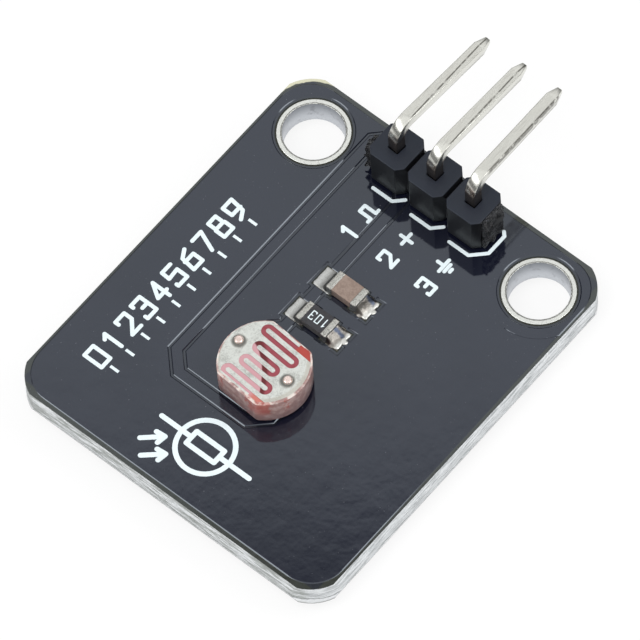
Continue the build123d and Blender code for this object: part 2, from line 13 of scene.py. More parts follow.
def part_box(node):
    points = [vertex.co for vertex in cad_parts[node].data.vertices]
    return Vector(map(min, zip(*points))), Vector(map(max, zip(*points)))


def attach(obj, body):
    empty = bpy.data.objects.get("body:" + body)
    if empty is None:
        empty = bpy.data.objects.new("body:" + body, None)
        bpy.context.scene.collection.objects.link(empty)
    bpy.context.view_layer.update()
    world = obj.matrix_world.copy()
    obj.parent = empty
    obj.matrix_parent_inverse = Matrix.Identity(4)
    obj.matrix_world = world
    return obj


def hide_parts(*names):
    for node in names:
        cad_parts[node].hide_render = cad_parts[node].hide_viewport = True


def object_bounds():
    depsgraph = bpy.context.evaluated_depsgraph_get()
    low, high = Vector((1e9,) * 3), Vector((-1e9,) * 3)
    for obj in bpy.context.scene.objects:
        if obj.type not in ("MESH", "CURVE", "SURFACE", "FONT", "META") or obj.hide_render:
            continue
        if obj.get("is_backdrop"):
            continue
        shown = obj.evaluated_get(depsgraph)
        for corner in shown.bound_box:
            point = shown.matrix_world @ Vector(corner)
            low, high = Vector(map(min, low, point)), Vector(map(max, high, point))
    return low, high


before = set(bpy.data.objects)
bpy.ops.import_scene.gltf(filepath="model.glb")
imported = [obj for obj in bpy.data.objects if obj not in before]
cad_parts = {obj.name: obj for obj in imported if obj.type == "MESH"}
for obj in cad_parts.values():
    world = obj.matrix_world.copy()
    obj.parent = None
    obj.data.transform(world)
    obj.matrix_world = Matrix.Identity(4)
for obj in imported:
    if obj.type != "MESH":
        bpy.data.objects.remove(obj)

log = logging.getLogger("light_sensor_module")

MM = 0.001
WELD = 1e-8
FLAT_ANGLE = math.radians(0.5)
SMOOTH_ANGLE = math.radians(32)
ROUNDED_ANGLE = math.radians(30)
FLAT_COSINE = math.cos(math.radians(2))
LEVEL_COSINE = math.cos(math.radians(0.2))
MIX_COLOURS = (6, 7)
MIX_RESULT = 2

HOLE_Y = 7.5
MASK_TOP = 1.6
COPPER_TOP = 1.575
MASK_LOW = 1.56
LEVEL_SLACK = 0.002
BOARD_MIDDLE = (-9.05, 0.12)
PIN_X = 0.87
PIN_ROWS = (2.54, 0.0, -2.54)
SENSOR_PLACE = (-12.68, 0.17, 0.0)
SENSOR_TURN = -4.0
LEAD_Y = 1.725
RESISTOR_X = -8.53
CAPACITOR_X = -6.25
LAND_MIDDLE_Y = 0.1
LAND_OFFSET = 1.17
LAND_HALF = (0.6, 0.57)

Colour = tuple[float, float, float]
Point = tuple[float, float]


def srgb(red: int, green: int, blue: int) -> Colour:
    """Linear colour of an 8-bit display colour."""
    return tuple(
        part / 12.92 if part <= 0.04045 else ((part + 0.055) / 1.055) ** 2.4
        for part in (red / 255, green / 255, blue / 255)
    )


def eased(value: float, low: float, high: float) -> float:
    """Smooth step of a number from 0 at one value to 1 at another."""
    share = min(max((value - low) / (high - low), 0.0), 1.0)
    return share * share * (3 - 2 * share)


class Wire:
    """A node's socket that Python's operators turn into Math nodes."""

    def __init__(self, graph: "Graph", socket: bpy.types.NodeSocket) -> None:
        """Keeps the socket and the graph that it belongs to."""
        self.graph = graph
        self.socket = socket

    def maths(self, operation: str, *values: "Wire | float") -> "Wire":
        """One Math node on these values."""
        return self.graph.node("ShaderNodeMath", {"operation": operation}, *values)

    def __add__(self, other: "Wire | float") -> "Wire":
        """Sum."""
        return self.maths("ADD", self, other)

    __radd__ = __add__

    def __sub__(self, other: "Wire | float") -> "Wire":
        """Difference."""
        return self.maths("SUBTRACT", self, other)

    def __rsub__(self, other: float) -> "Wire":
        """Difference from a number."""
        return self.maths("SUBTRACT", other, self)

    def __mul__(self, other: "Wire | float") -> "Wire":
        """Product."""
        return self.maths("MULTIPLY", self, other)

    __rmul__ = __mul__

    def __truediv__(self, other: "Wire | float") -> "Wire":
        """Quotient."""
        return self.maths("DIVIDE", self, other)

    def __rtruediv__(self, other: float) -> "Wire":
        """Quotient of a number."""
        return self.maths("DIVIDE", other, self)

    def __pow__(self, other: float) -> "Wire":
        """Power."""
        return self.maths("POWER", self, other)

    def __neg__(self) -> "Wire":
        """Opposite."""
        return self.maths("MULTIPLY", self, -1.0)

    def size(self) -> "Wire":
        """Absolute value."""
        return self.maths("ABSOLUTE", self)

    def least(self, other: "Wire | float") -> "Wire":
        """Smaller of two values."""
        return self.maths("MINIMUM", self, other)

    def most(self, other: "Wire | float") -> "Wire":
        """Larger of two values."""
        return self.maths("MAXIMUM", self, other)

    def step(self, low: float, high: float) -> "Wire":
        """Smooth step from 0 at one value to 1 at another, in either order.

        Args:
            low: where the step is 0.
            high: where the step is 1.

        Returns:
            The step.
        """
        if low > high:
            return 1 - self.step(high, low)
        settings = {"interpolation_type": "SMOOTHSTEP"}
        return self.graph.node("ShaderNodeMapRange", settings, self, low, high, 0.0, 1.0)


class Graph:
    """Node tree with one method for any of its nodes."""

    def __init__(self, tree: bpy.types.NodeTree) -> None:
        """Keeps the tree."""
        self.tree = tree

    def node(
        self, kind: str, settings: dict | None = None, *values: object, out: int | str = 0, **named: object
    ) -> Wire:
        """Adds one node.

        Args:
            kind: the node's type.
            settings: properties that are set first.
            values: values or links of its first sockets, in order.
            out: the output to return.
            named: values or links by socket name, with _ for a space.

        Returns:
            The chosen output.
        """
        made = self.tree.nodes.new(kind)
        for key, value in (settings or {}).items():
            setattr(made, key, value)
        for socket, value in zip(made.inputs, values):
            self.feed(socket, value)
        for key, value in named.items():
            self.feed(made.inputs[key.replace("_", " ")], value)
        return Wire(self, made.outputs[out])

    def feed(self, socket: bpy.types.NodeSocket, value: object) -> None:
        """Links a wire to a socket, or sets the socket's own value.

        Args:
            socket: an input.
            value: a wire, or a plain value.
        """
        if isinstance(value, Wire):
            self.tree.links.new(value.socket, socket)
        elif isinstance(value, tuple) and socket.type == "RGBA":
            socket.default_value = (*value, 1.0)
        else:
            socket.default_value = value

    def vector(self, operation: str, *values: object, out: int | str = 0, **named: object) -> Wire:
        """One Vector Math node on these values."""
        return self.node("ShaderNodeVectorMath", {"operation": operation}, *values, out=out, **named)

    def triple(self, x: Wire | float, y: Wire | float, z: Wire | float) -> Wire:
        """Vector of three numbers."""
        return self.node("ShaderNodeCombineXYZ", None, x, y, z)

    def part(self, vector: Wire, axis: str) -> Wire:
        """One coordinate of a vector."""
        return self.node("ShaderNodeSeparateXYZ", None, vector, out=axis)

    def distance(self, x: Wire, y: Wire, centre: Point) -> Wire:
        """Distance of a place from a centre.

        Args:
            x: the place's first coordinate.
            y: the place's second coordinate.
            centre: the centre.

        Returns:
            The distance.
        """
        across = x - centre[0]
        along = y - centre[1]
        return (across * across + along * along) ** 0.5

    def mix(self, first: Wire | Colour, second: Wire | Colour, factor: Wire | float) -> Wire:
        """Colour between two colours.

        Args:
            first: colour at factor 0.
            second: colour at factor 1.
            factor: share of the second.

        Returns:
            The mixed colour.
        """
        made = self.tree.nodes.new("ShaderNodeMix")
        made.data_type = "RGBA"
        self.feed(made.inputs["Factor"], factor)
        for index, colour in zip(MIX_COLOURS, (first, second)):
            self.feed(made.inputs[index], colour)
        return Wire(self, made.outputs[MIX_RESULT])

    def layered(self, tone: Wire | Colour, *layers: tuple[Wire | Colour, Wire | float]) -> Wire:
        """Colour with others laid over it in turn.

        Args:
            tone: the lowest colour.
            layers: each further colour with its share.

        Returns:
            The colour that is seen.
        """
        for colour, share in layers:
            tone = self.mix(tone, colour, share)
        return tone


class Paint(Graph):
    """Node tree of one material."""

    def __init__(self, name: str) -> None:
        """Makes the material with an empty Principled surface.

        Args:
            name: the material's name.
        """
        self.material = bpy.data.materials.new(name)
        self.material.use_nodes = True
        super().__init__(self.material.node_tree)
        self.shader = self.tree.nodes["Principled BSDF"]

    def surface(self, **named: object) -> None:
        """Sets or links sockets of the Principled surface."""
        for key, value in named.items():
            self.feed(self.shader.inputs[key.replace("_", " ")], value)

    def place(self) -> Wire:
        """Position on the object in millimetres."""
        coords = self.node("ShaderNodeTexCoord", out="Object")
        return self.vector("SCALE", coords, Scale=1 / MM)

    def along(self, axis: str) -> Wire:
        """One coordinate on the object in millimetres."""
        return self.part(self.place(), axis)

    def from_middle(self) -> list[Wire]:
        """Distances from the board's middle along X and along Y, in millimetres."""
        return [(self.along(axis) - middle).size() for axis, middle in zip("XY", BOARD_MIDDLE)]

    def moved(self, offset: Sequence[float], turn: float = 0.0, stretch: Sequence[float] = (1, 1, 1)) -> Wire:
        """Position seen from another place.

        Args:
            offset: that place, in millimetres.
            turn: turn about Z, in degrees.
            stretch: scale along each axis, after the turn.

        Returns:
            The position, in millimetres.
        """
        centred = self.vector("SUBTRACT", self.place(), tuple(offset))
        angle = (0.0, 0.0, math.radians(turn))
        turned = self.node("ShaderNodeMapping", None, centred, Rotation=angle)
        return self.vector("MULTIPLY", turned, tuple(stretch))

    def noise(
        self, size: float, detail: float = 3.0, rough: float = 0.55, place: Wire | None = None
    ) -> Wire:
        """Noise between 0 and 1.

        Args:
            size: size of its lumps, in millimetres.
            detail: number of finer layers.
            rough: strength of the finer layers.
            place: position to read it at.

        Returns:
            The noise.
        """
        where = place or self.place()
        return self.node(
            "ShaderNodeTexNoise", None, Vector=where, Scale=1 / size, Detail=detail, Roughness=rough
        )

    def bump(self, height: Wire, depth: float, strength: float = 1.0) -> Wire:
        """Normal of a relief, whose depth is in millimetres."""
        return self.node("ShaderNodeBump", None, Strength=strength, Distance=depth * MM, Height=height)


class Plan(Graph):
    """Geometry Nodes tree that makes one kind of repeated or ruled piece."""

    def __init__(self, name: str, **sizes: object) -> None:
        """Makes an empty tree.

        Args:
            name: the tree's name.
            sizes: its named inputs with their values at first.
        """
        super().__init__(bpy.data.node_groups.new(name, "GeometryNodeTree"))
        face = self.tree.interface
        face.new_socket("Geometry", in_out="INPUT", socket_type="NodeSocketGeometry")
        face.new_socket("Geometry", in_out="OUTPUT", socket_type="NodeSocketGeometry")
        kinds = {float: "NodeSocketFloat", int: "NodeSocketInt"}
        self.keys = {}
        for key, value in sizes.items():
            socket = face.new_socket(key, in_out="INPUT", socket_type=kinds[type(value)])
            socket.default_value = value
            self.keys[key] = socket.identifier
        self.entry = self.tree.nodes.new("NodeGroupInput")
        self.seed = Wire(self, self.entry.outputs["Geometry"])

    def input(self, name: str) -> Wire:
        """One of the tree's named inputs."""
        return Wire(self, self.entry.outputs[name])

    def join(self, *shapes: Wire) -> Wire:
        """Several geometries together.

        Args:
            shapes: the geometries.

        Returns:
            The joined geometry.
        """
        made = self.tree.nodes.new("GeometryNodeJoinGeometry")
        for shape in shapes:
            self.tree.links.new(shape.socket, made.inputs[0])
        return Wire(self, made.outputs[0])

    def finish(self, shape: Wire, material: bpy.types.Material) -> "Plan":
        """Ends the tree with real faces of one material.

        Args:
            shape: the geometry.
            material: its finish.

        Returns:
            The plan itself.
        """
        real = self.node("GeometryNodeRealizeInstances", None, shape)
        painted = self.node("GeometryNodeSetMaterial", None, Geometry=real, Material=material)
        exit_node = self.tree.nodes.new("NodeGroupOutput")
        self.tree.links.new(painted.socket, exit_node.inputs[0])
        return self

    def grow(self, seed: bpy.types.Mesh, **sizes: object) -> "Shape":
        """Runs the tree on a mesh.

        Args:
            seed: the mesh that it starts from.
            sizes: values of its named inputs.

        Returns:
            The result, as a plain mesh in the making.
        """
        carrier = bpy.data.objects.new("carrier", seed)
        bpy.context.scene.collection.objects.link(carrier)
        modifier = carrier.modifiers.new("plan", "NODES")
        modifier.node_group = self.tree
        for key, value in sizes.items():
            modifier[self.keys[key]] = value
        graph = bpy.context.evaluated_depsgraph_get()
        made = Shape()
        result = bpy.data.meshes.new_from_object(carrier.evaluated_get(graph))
        made.form.from_mesh(result)
        carrier.modifiers.clear()
        bpy.data.objects.remove(carrier)
        return made


class Shape:
    """A mesh in the making."""

    def __init__(self) -> None:
        """Starts with nothing."""
        self.form = bmesh.new()

    @classmethod
    def block(cls, node: str) -> "Shape":
        """Plain block that fills a frame node's box.

        Args:
            node: the node's name.

        Returns:
            The block.
        """
        made = cls()
        low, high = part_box(node)
        spot = Matrix.Translation((low + high) / 2) @ Matrix.Diagonal((*(high - low), 1.0))
        bmesh.ops.create_cube(made.form, size=1.0, matrix=spot)
        return made

    @classmethod
    def of_node(cls, node: str, joined: bool = True) -> "Shape":
        """Welded copy of a frame node's mesh.

        Args:
            node: the node's name.
            joined: whether its flat faces are joined up.

        Returns:
            The copy.
        """
        made = cls()
        made.form.from_mesh(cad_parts[node].data)
        bmesh.ops.remove_doubles(made.form, verts=made.form.verts, dist=WELD)
        if joined:
            edges = made.form.edges
            bmesh.ops.dissolve_limit(made.form, angle_limit=FLAT_ANGLE, verts=made.form.verts, edges=edges)
        made.form.normal_update()
        return made

    def move(self, rule: Callable[[Vector], Vector]) -> "Shape":
        """Moves each point by a rule.

        Args:
            rule: gives a point's new place from its old one, in millimetres.

        Returns:
            The shape itself.
        """
        for vertex in self.form.verts:
            vertex.co = rule(vertex.co / MM) * MM
        return self

    def mesh(self, name: str) -> bpy.types.Mesh:
        """Finished mesh, after which the shape is spent.

        Args:
            name: the mesh's name.

        Returns:
            The mesh, with its faces outwards.
        """
        made = bpy.data.meshes.new(name)
        bmesh.ops.recalc_face_normals(self.form, faces=self.form.faces)
        self.form.to_mesh(made)
        self.form.free()
        return made


def wires(
    points: Sequence[Sequence[float]], edges: Sequence[tuple[int, int]] = (), faces: Sequence = ()
) -> bpy.types.Mesh:
    """Mesh of bare points, edges or faces, for a plan to start from.

    Args:
        points: places in millimetres.
        edges: pairs of point numbers.
        faces: lists of point numbers.

    Returns:
        The mesh.
    """
    made = bpy.data.meshes.new("seed")
    made.from_pydata([Vector(point) * MM for point in points], list(edges), list(faces))
    return made


@dataclass(frozen=True)
class Edge:
    """Rounding of a piece's edges, in millimetres."""

    width: float
    steps: int = 2


def soften(piece: bpy.types.Object, edge: Edge) -> None:
    """Rounds a piece's edges and keeps its flat faces flat in their shading.

    Args:
        piece: the piece.
        edge: the rounding.
    """
    piece.data.shade_smooth()
    bevel = piece.modifiers.new("rounded_edges", "BEVEL")
    bevel.width = edge.width * MM
    bevel.segments = edge.steps
    bevel.limit_method = "ANGLE"
    bevel.angle_limit = ROUNDED_ANGLE
    bevel.miter_outer = "MITER_ARC"
    bevel.harden_normals = True
    graph = bpy.context.evaluated_depsgraph_get()
    made = bpy.data.meshes.new_from_object(piece.evaluated_get(graph))
    piece.modifiers.clear()
    piece.data = made
    flatten(made)


def flatten(mesh: bpy.types.Mesh) -> None:
    """Gives the corners of flat faces exactly their face's normal.

    Args:
        mesh: a mesh with smooth shading.
    """
    normals = [corner.vector.copy() for corner in mesh.corner_normals]
    for face in mesh.polygons:
        corners = [normals[index] for index in face.loop_indices]
        level = abs(face.normal.z) > LEVEL_COSINE
        if level or all(corner.dot(face.normal) > FLAT_COSINE for corner in corners):
            for index in face.loop_indices:
                normals[index] = face.normal.copy()
    mesh.normals_split_custom_set([tuple(normal) for normal in normals])


def put(
    name: str,
    shape: Shape,
    material: bpy.types.Material,
    replaced: Iterable[str] = (),
    edge: Edge | None = None,
    angle: float = SMOOTH_ANGLE,
    flat: bool = False,
) -> None:
    """Places a finished piece in the scene.

    Args:
        name: the piece's name.
        shape: its mesh in the making.
        material: its finish.
        replaced: frame nodes that it stands for.
        edge: rounding of its edges.
        angle: edges sharper than this stay sharp where none is rounded.
        flat: whether its flat faces are kept exactly flat where none is rounded.
    """
    piece = bpy.data.objects.new(name, shape.mesh(name))
    bpy.context.scene.collection.objects.link(piece)
    if edge:
        soften(piece, edge)
    else:
        piece.data.shade_smooth()
        piece.data.set_sharp_from_angle(angle=angle)
        if flat:
            flatten(piece.data)
    piece.data.materials.clear()
    piece.data.materials.append(material)
    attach(piece, "root")
    if replaced:
        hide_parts(*replaced)
    log.info("%s: %d faces", name, len(piece.data.polygons))


def dress(
    node: str, material: bpy.types.Material, edge: Edge | None, joined: bool = True
) -> None:
    """Stands a copy of a frame node in the node's place.

    Args:
        node: the node's name.
        material: the copy's finish.
        edge: rounding of its edges.
        joined: whether its flat faces are joined up.
    """
    put(f"{node}_dressed", Shape.of_node(node, joined), material, (node,), edge, flat=True)


def repaint(node: str, material: bpy.types.Material) -> None:
    """Gives a frame node that stays as it is a new finish.

    Args:
        node: the node's name.
        material: its finish.
    """
    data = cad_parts[node].data
    data.materials.clear()
    data.materials.append(material)


@dataclass(frozen=True)
class MaskFinish:
    """Glossy black solder mask, olive where no foil lies under it and chipped at one corner."""

    colour: Colour = srgb(19, 21, 35)
    cloudy: Colour = srgb(14, 16, 28)
    bare: Colour = srgb(45, 47, 36)
    chipped: Colour = srgb(196, 194, 168)
    dust: Colour = srgb(120, 122, 126)
    tint: Colour = (0.83, 0.91, 1.0)
    low_levels: Point = (1.583, 1.566)
    rim_from: Point = (11.3, 9.7)
    corner: Point = (0.45, 8.02)
    corner_radius: float = 2.33
    corner_blur: float = 0.03
    corner_ragged: float = 0.12
    corner_start: float = 0.3

    def material(self) -> bpy.types.Material:
        """Builds the finish.

        Returns:
            The material.
        """
        paint = Paint("solder_mask")
        x, y = paint.along("X"), paint.along("Y")
        cloud = paint.noise(5.0, 2.0)
        low = paint.along("Z").step(*self.low_levels)
        across, along = paint.from_middle()
        rim = (across - self.rim_from[0]).most(along - self.rim_from[1]).step(0.0, 0.1)
        past = paint.distance(x, y, self.corner) + (paint.noise(0.3, 3.0) - 0.5) * self.corner_ragged
        chip = past.step(self.corner_radius - self.corner_blur, self.corner_radius + self.corner_blur)
        for place, start in zip((x, y), self.corner):
            chip = chip * place.step(start, start + self.corner_start)
        speck = paint.noise(0.09, 1.0).step(0.76, 0.8)
        tone = paint.layered(
            self.colour,
            (self.cloudy, cloud),
            (self.bare, low * (0.15 + 0.65 * rim)),
            (self.chipped, chip),
            (self.dust, speck * 0.5),
        )
        relief = paint.noise(0.9, 2.0) + paint.noise(0.05, 2.0) * 0.03
        paint.surface(
            Base_Color=tone,
            Roughness=0.05 + 0.04 * cloud + 0.4 * chip,
            IOR=1.8,
            Specular_Tint=self.tint,
            Normal=paint.bump(relief, 0.0016),
        )
        return paint.material


@dataclass(frozen=True)
class InkFinish:
    """Matt white printing ink, thin in places and with faint pinholes."""

    colour: Colour = srgb(226, 236, 239)
    thin: Colour = srgb(206, 219, 224)
    pinhole: Colour = srgb(130, 138, 144)

    def material(self) -> bpy.types.Material:
        """Builds the finish.

        Returns:
            The material.
        """
        paint = Paint("printing_ink")
        grain = paint.noise(0.05, 4.0, 0.7)
        thin = paint.noise(0.22, 2.0)
        tone = paint.layered(self.colour, (self.thin, thin), (self.pinhole, grain.step(0.34, 0.22)))
        paint.surface(Base_Color=tone, Roughness=0.6, Normal=paint.bump(grain, 0.006))
        return paint.material


@dataclass(frozen=True)
class LaminateFinish:
    """Scored and snapped glass-fibre laminate: pale sides with a torn line darkened by painted shade under
    the web, dark olive faces.
    """

    fibre: Colour = srgb(217, 220, 222)
    resin: Colour = srgb(160, 164, 166)
    # darker grey-green in patches along the layers, on the −X side only
    face: Colour = srgb(46, 48, 42)
    darker_patches: Colour = srgb(142, 146, 142)
    scored: Colour = srgb(236, 238, 240)
    # dark line of the torn web, deepened by painted shade under the web
    tear_shade: Colour = srgb(96, 100, 102)
    foot: Colour = srgb(120, 122, 118)
    tear_shade_level: float = 0.47
    foot_levels: Point = (0.16, 0.05)
    darker_patches_from: Point = (-20.5, -20.75)
    face_within: tuple[Point, Point] = ((11.86, 11.8), (10.26, 10.2))

    def material(self) -> bpy.types.Material:
        """Builds the finish.

        Returns:
            The material.
        """
        paint = Paint("laminate")
        z = paint.along("Z")
        lay = paint.noise(0.5, 5.0, 0.65, paint.moved((0, 0, 0), 0, (0.4, 0.4, 5.0)))
        grain = paint.noise(0.05, 3.0, 0.7)
        above = z - self.tear_shade_level - (paint.noise(0.9, 4.0, 0.6) - 0.5) * 0.5
        side = paint.layered(
            self.resin,
            (self.fibre, (lay * 0.75 + grain * 0.25).step(0.4, 0.56)),
            # darker in patches along the layers on the −X side
            (self.darker_patches, paint.along("X").step(*self.darker_patches_from) * lay.step(0.6, 0.42) * 0.8),
            (self.scored, above.step(0.02, -0.03) * 0.6),
            # torn line darkened by painted shade under the web
            (self.tear_shade, above.size().step(0.06, 0.02) * 0.85),
            (self.foot, z.step(*self.foot_levels) * 0.6),
        )
        face = paint.part(paint.node("ShaderNodeNewGeometry", out="Normal"), "Z").step(0.9, 0.98)
        for place, border in zip(paint.from_middle(), self.face_within):
            face = face * place.step(*border)
        paint.surface(
            Base_Color=paint.mix(side, self.face, face),
            Roughness=0.7,
            Normal=paint.bump(lay + grain * 0.4, 0.05),
        )
        return paint.material


@dataclass(frozen=True)
class MetalFinish:
    """Tinned or plated metal with fine smears."""

    name: str
    colour: Colour
    gloss: float
    lumps: float = 0.3
    relief: float = 0.004
    stain: Colour = srgb(150, 142, 132)
    stained: float = 0.25

    def paint(self) -> Paint:
        """Builds the metal's nodes.

        Returns:
            The paint, for a finish that adds to it.
        """
        paint = Paint(self.name)
        cloud = paint.noise(self.lumps, 3.0)
        fine = paint.noise(0.04, 3.0, 0.65)
        paint.surface(
            Base_Color=paint.mix(self.colour, self.stain, cloud.step(0.5, 0.66) * self.stained),
            Metallic=1.0,
            Roughness=self.gloss + 0.12 * fine,
            Normal=paint.bump(cloud + fine * 0.2, self.relief),
        )
        return paint

    def material(self) -> bpy.types.Material:
        """Builds the finish."""
        return self.paint().material


@dataclass(frozen=True)
class RimFinish(MetalFinish):
    """Tinned rim of a mounting hole: bright land with a painted dark line along its inner edge, and a darker
    bore of painted shade that grows lighter towards its foot.
    """

    dull: Colour = srgb(170, 172, 168)
    # painted shade: dark line where the land rolls over into the bore
    painted_dark_edge: Colour = srgb(86, 84, 80)
    # painted shade in the bore, darkest at its top
    bore: Colour = srgb(150, 154, 160)
    # lighter towards the bore's foot, the other end of the painted shade
    bore_foot: Colour = srgb(200, 204, 210)
    smear: Colour = srgb(120, 122, 128)
    dark_edge_radius: float = 1.71
    land_from: Point = (1.655, 1.67)
    bore_levels: Point = (1.6, 0.2)

    def material(self) -> bpy.types.Material:
        """Builds the finish.

        Returns:
            The material.
        """
        paint = self.paint()
        radius = paint.distance(paint.along("X"), paint.along("Y").size(), (0.0, HOLE_Y))
        grain = paint.noise(0.12, 4.0, 0.7)
        # painted dark line of shade along the land's inner edge
        painted_dark_edge = (radius - self.dark_edge_radius + (grain - 0.5) * 0.14).size().step(0.045, 0.01)
        land = paint.layered(self.colour, (self.dull, grain.step(0.55, 0.72) * 0.5), (self.painted_dark_edge, painted_dark_edge * 0.8))
        # bore wall in painted shade, darker at the top and lighter towards the foot, with smears
        wall = paint.layered(
            self.bore,
            (self.bore_foot, paint.along("Z").step(*self.bore_levels)),
            (self.smear, paint.noise(0.5, 4.0).step(0.55, 0.75) * 0.5),
        )
        paint.surface(
            Base_Color=paint.mix(wall, land, radius.step(*self.land_from)),
            Roughness=0.22 + 0.25 * grain,
            Normal=paint.bump(grain, 0.01),
        )
        return paint.material


@dataclass(frozen=True)
class PinFinish(MetalFinish):
    """Tinned pin wire with a painted brown reflection at the bend and below it, painted shade near the
    plastic, and a painted dark line along one top edge.
    """

    # painted shade: dark line along each pin's top −Y edge
    painted_dark_edge: Colour = srgb(92, 90, 84)
    # painted brown reflection at the bend and on the legs below it
    painted_brown_reflection: Colour = srgb(122, 102, 88)
    # painted shade low on the legs, near the plastic
    root: Colour = srgb(70, 62, 56)
    dark_edge_y: float = -0.29
    dark_edge_levels: Point = (6.06, 6.12)
    dark_edge_from: Point = (1.6, 2.0)
    brown_reflection_levels: Point = (5.95, 5.3)
    root_shade_levels: Point = (5.0, 4.4)

    def material(self) -> bpy.types.Material:
        """Builds the finish.

        Returns:
            The material.
        """
        paint = self.paint()
        x, y, z = (paint.along(axis) for axis in "XYZ")
        cloud = paint.noise(0.35, 3.0)
        wander = cloud - 0.5
        grain = paint.noise(0.09, 4.0, 0.6, paint.moved((0, 0, 0), 0, (0.12, 1, 1)))
        line = reduce(Wire.least, ((y - (row + self.dark_edge_y)).size() for row in PIN_ROWS))
        painted_dark_edge = (line + wander * 0.05).step(0.06, 0.025) * z.step(*self.dark_edge_levels) * x.step(*self.dark_edge_from)
        # painted dark edge line, painted brown reflection and painted shade, over random stains
        tone = paint.layered(
            self.colour,
            (self.stain, grain.step(0.5, 0.7) * 0.2),
            (self.painted_dark_edge, painted_dark_edge * cloud.step(0.3, 0.5) * 0.85),
            (self.painted_brown_reflection, (z + wander * 0.9).step(*self.brown_reflection_levels) * 0.85),
            (self.root, (z + wander * 0.5).step(*self.root_shade_levels) * 0.7),
        )
        paint.surface(Base_Color=tone, Roughness=self.gloss + 0.1 * grain, Normal=paint.bump(grain, 0.0015))
        return paint.material


@dataclass(frozen=True)
class LandFinish(MetalFinish):
    """Solder of the chips' lands: brown where it climbs the ground ends with a painted blue reflection in
    stripes there, paler on the ground side, and painted shade beside the chips' signal ends.
    """

    brown: Colour = srgb(112, 104, 96)
    # painted reflection: blue stripes on the solder where it climbs the ground ends
    blue: Colour = srgb(44, 62, 90)
    dull: Colour = srgb(226, 226, 221)
    shaded: Colour = srgb(112, 112, 110)
    streaks: Point = (RESISTOR_X + 0.2, CAPACITOR_X + 0.36)

    def material(self) -> bpy.types.Material:
        """Builds the finish.

        Returns:
            The material.
        """
        paint = self.paint()
        x, y = paint.along("X"), paint.along("Y")
        grain = paint.noise(0.06, 4.0, 0.7)
        wander = (paint.noise(0.3, 3.0) - 0.5) * 0.3
        climb = (y + wander).step(-1.52, -1.36) * y.step(-0.8, -0.9)
        streak = reduce(Wire.least, ((x - middle + wander).size() for middle in self.streaks))
        tone = paint.layered(
            self.colour,
            (self.stain, grain.step(0.5, 0.68) * self.stained),
            (self.dull, y.step(0.0, -0.2) * 0.8),
            (self.brown, climb * 0.75),
            # painted blue reflection in stripes
            (self.blue, climb * streak.step(0.2, 0.06) * 0.8),
            (self.shaded, (y + wander * 0.4).step(1.66, 1.3) * y.step(0.9, 1.0) * 0.75),
        )
        paint.surface(Base_Color=tone)
        return paint.material


@dataclass(frozen=True)
class PlasticFinish:
    """Black moulded plastic, dusty and rough where it is torn, with its top faces painted lighter and bluer
    as a painted sheen of the light.
    """

    colour: Colour = srgb(7, 7, 9)
    # painted sheen: the top faces lighter and bluer than the sides
    top: Colour = srgb(32, 36, 45)
    torn: Colour = srgb(92, 92, 94)
    tint: Colour = (0.9, 0.95, 1.0)
    roughness: float = 0.3
    dusty: float = 0.7
    clean: float = 0.7
    sheen_levels: Point = (4.3, 4.335)
    name: str = "header_plastic"

    def material(self) -> bpy.types.Material:
        """Builds the finish.

        Returns:
            The material.
        """
        paint = Paint(self.name)
        grain = paint.noise(0.06, 4.0, 0.6)
        cloud = paint.noise(0.5, 3.0)
        dust = paint.noise(0.045, 2.0).step(self.clean, self.clean + 0.06)
        top = paint.along("Z").step(*self.sheen_levels)
        paint.surface(
            # painted sheen on the top faces, then real dust
            Base_Color=paint.layered(self.colour, (self.top, top), (self.torn, dust * self.dusty)),
            Roughness=self.roughness + 0.1 * grain + 0.06 * cloud,
            IOR=1.42,
            Specular_Tint=self.tint,
            Normal=paint.bump(grain + cloud, 0.005),
        )
        return paint.material


class SensorPaint(Paint):
    """Paint that reads positions in the sensor's own frame."""

    def spot(self) -> tuple[Wire, Wire]:
        """Place across and along the sensor's face, in millimetres."""
        own = self.moved(SENSOR_PLACE, -SENSOR_TURN)
        return self.part(own, "X"), self.part(own, "Y")

    def blots(self, places: Sequence[tuple[float, float, float]], ragged: float = 0.35) -> Wire:
        """Soft ragged spots.

        Args:
            places: centre and radius of each, in the sensor's frame.
            ragged: how far their outlines wander.

        Returns:
            1 inside the spots and 0 outside.
        """
        x, y = self.spot()
        wander = (self.noise(0.22, 4.0, 0.6) - 0.5) * ragged * 2
        spots = (
            (self.distance(x, y, (across, along)) + wander).step(radius, radius * 0.45)
            for across, along, radius in places
        )
        return reduce(Wire.most, spots)


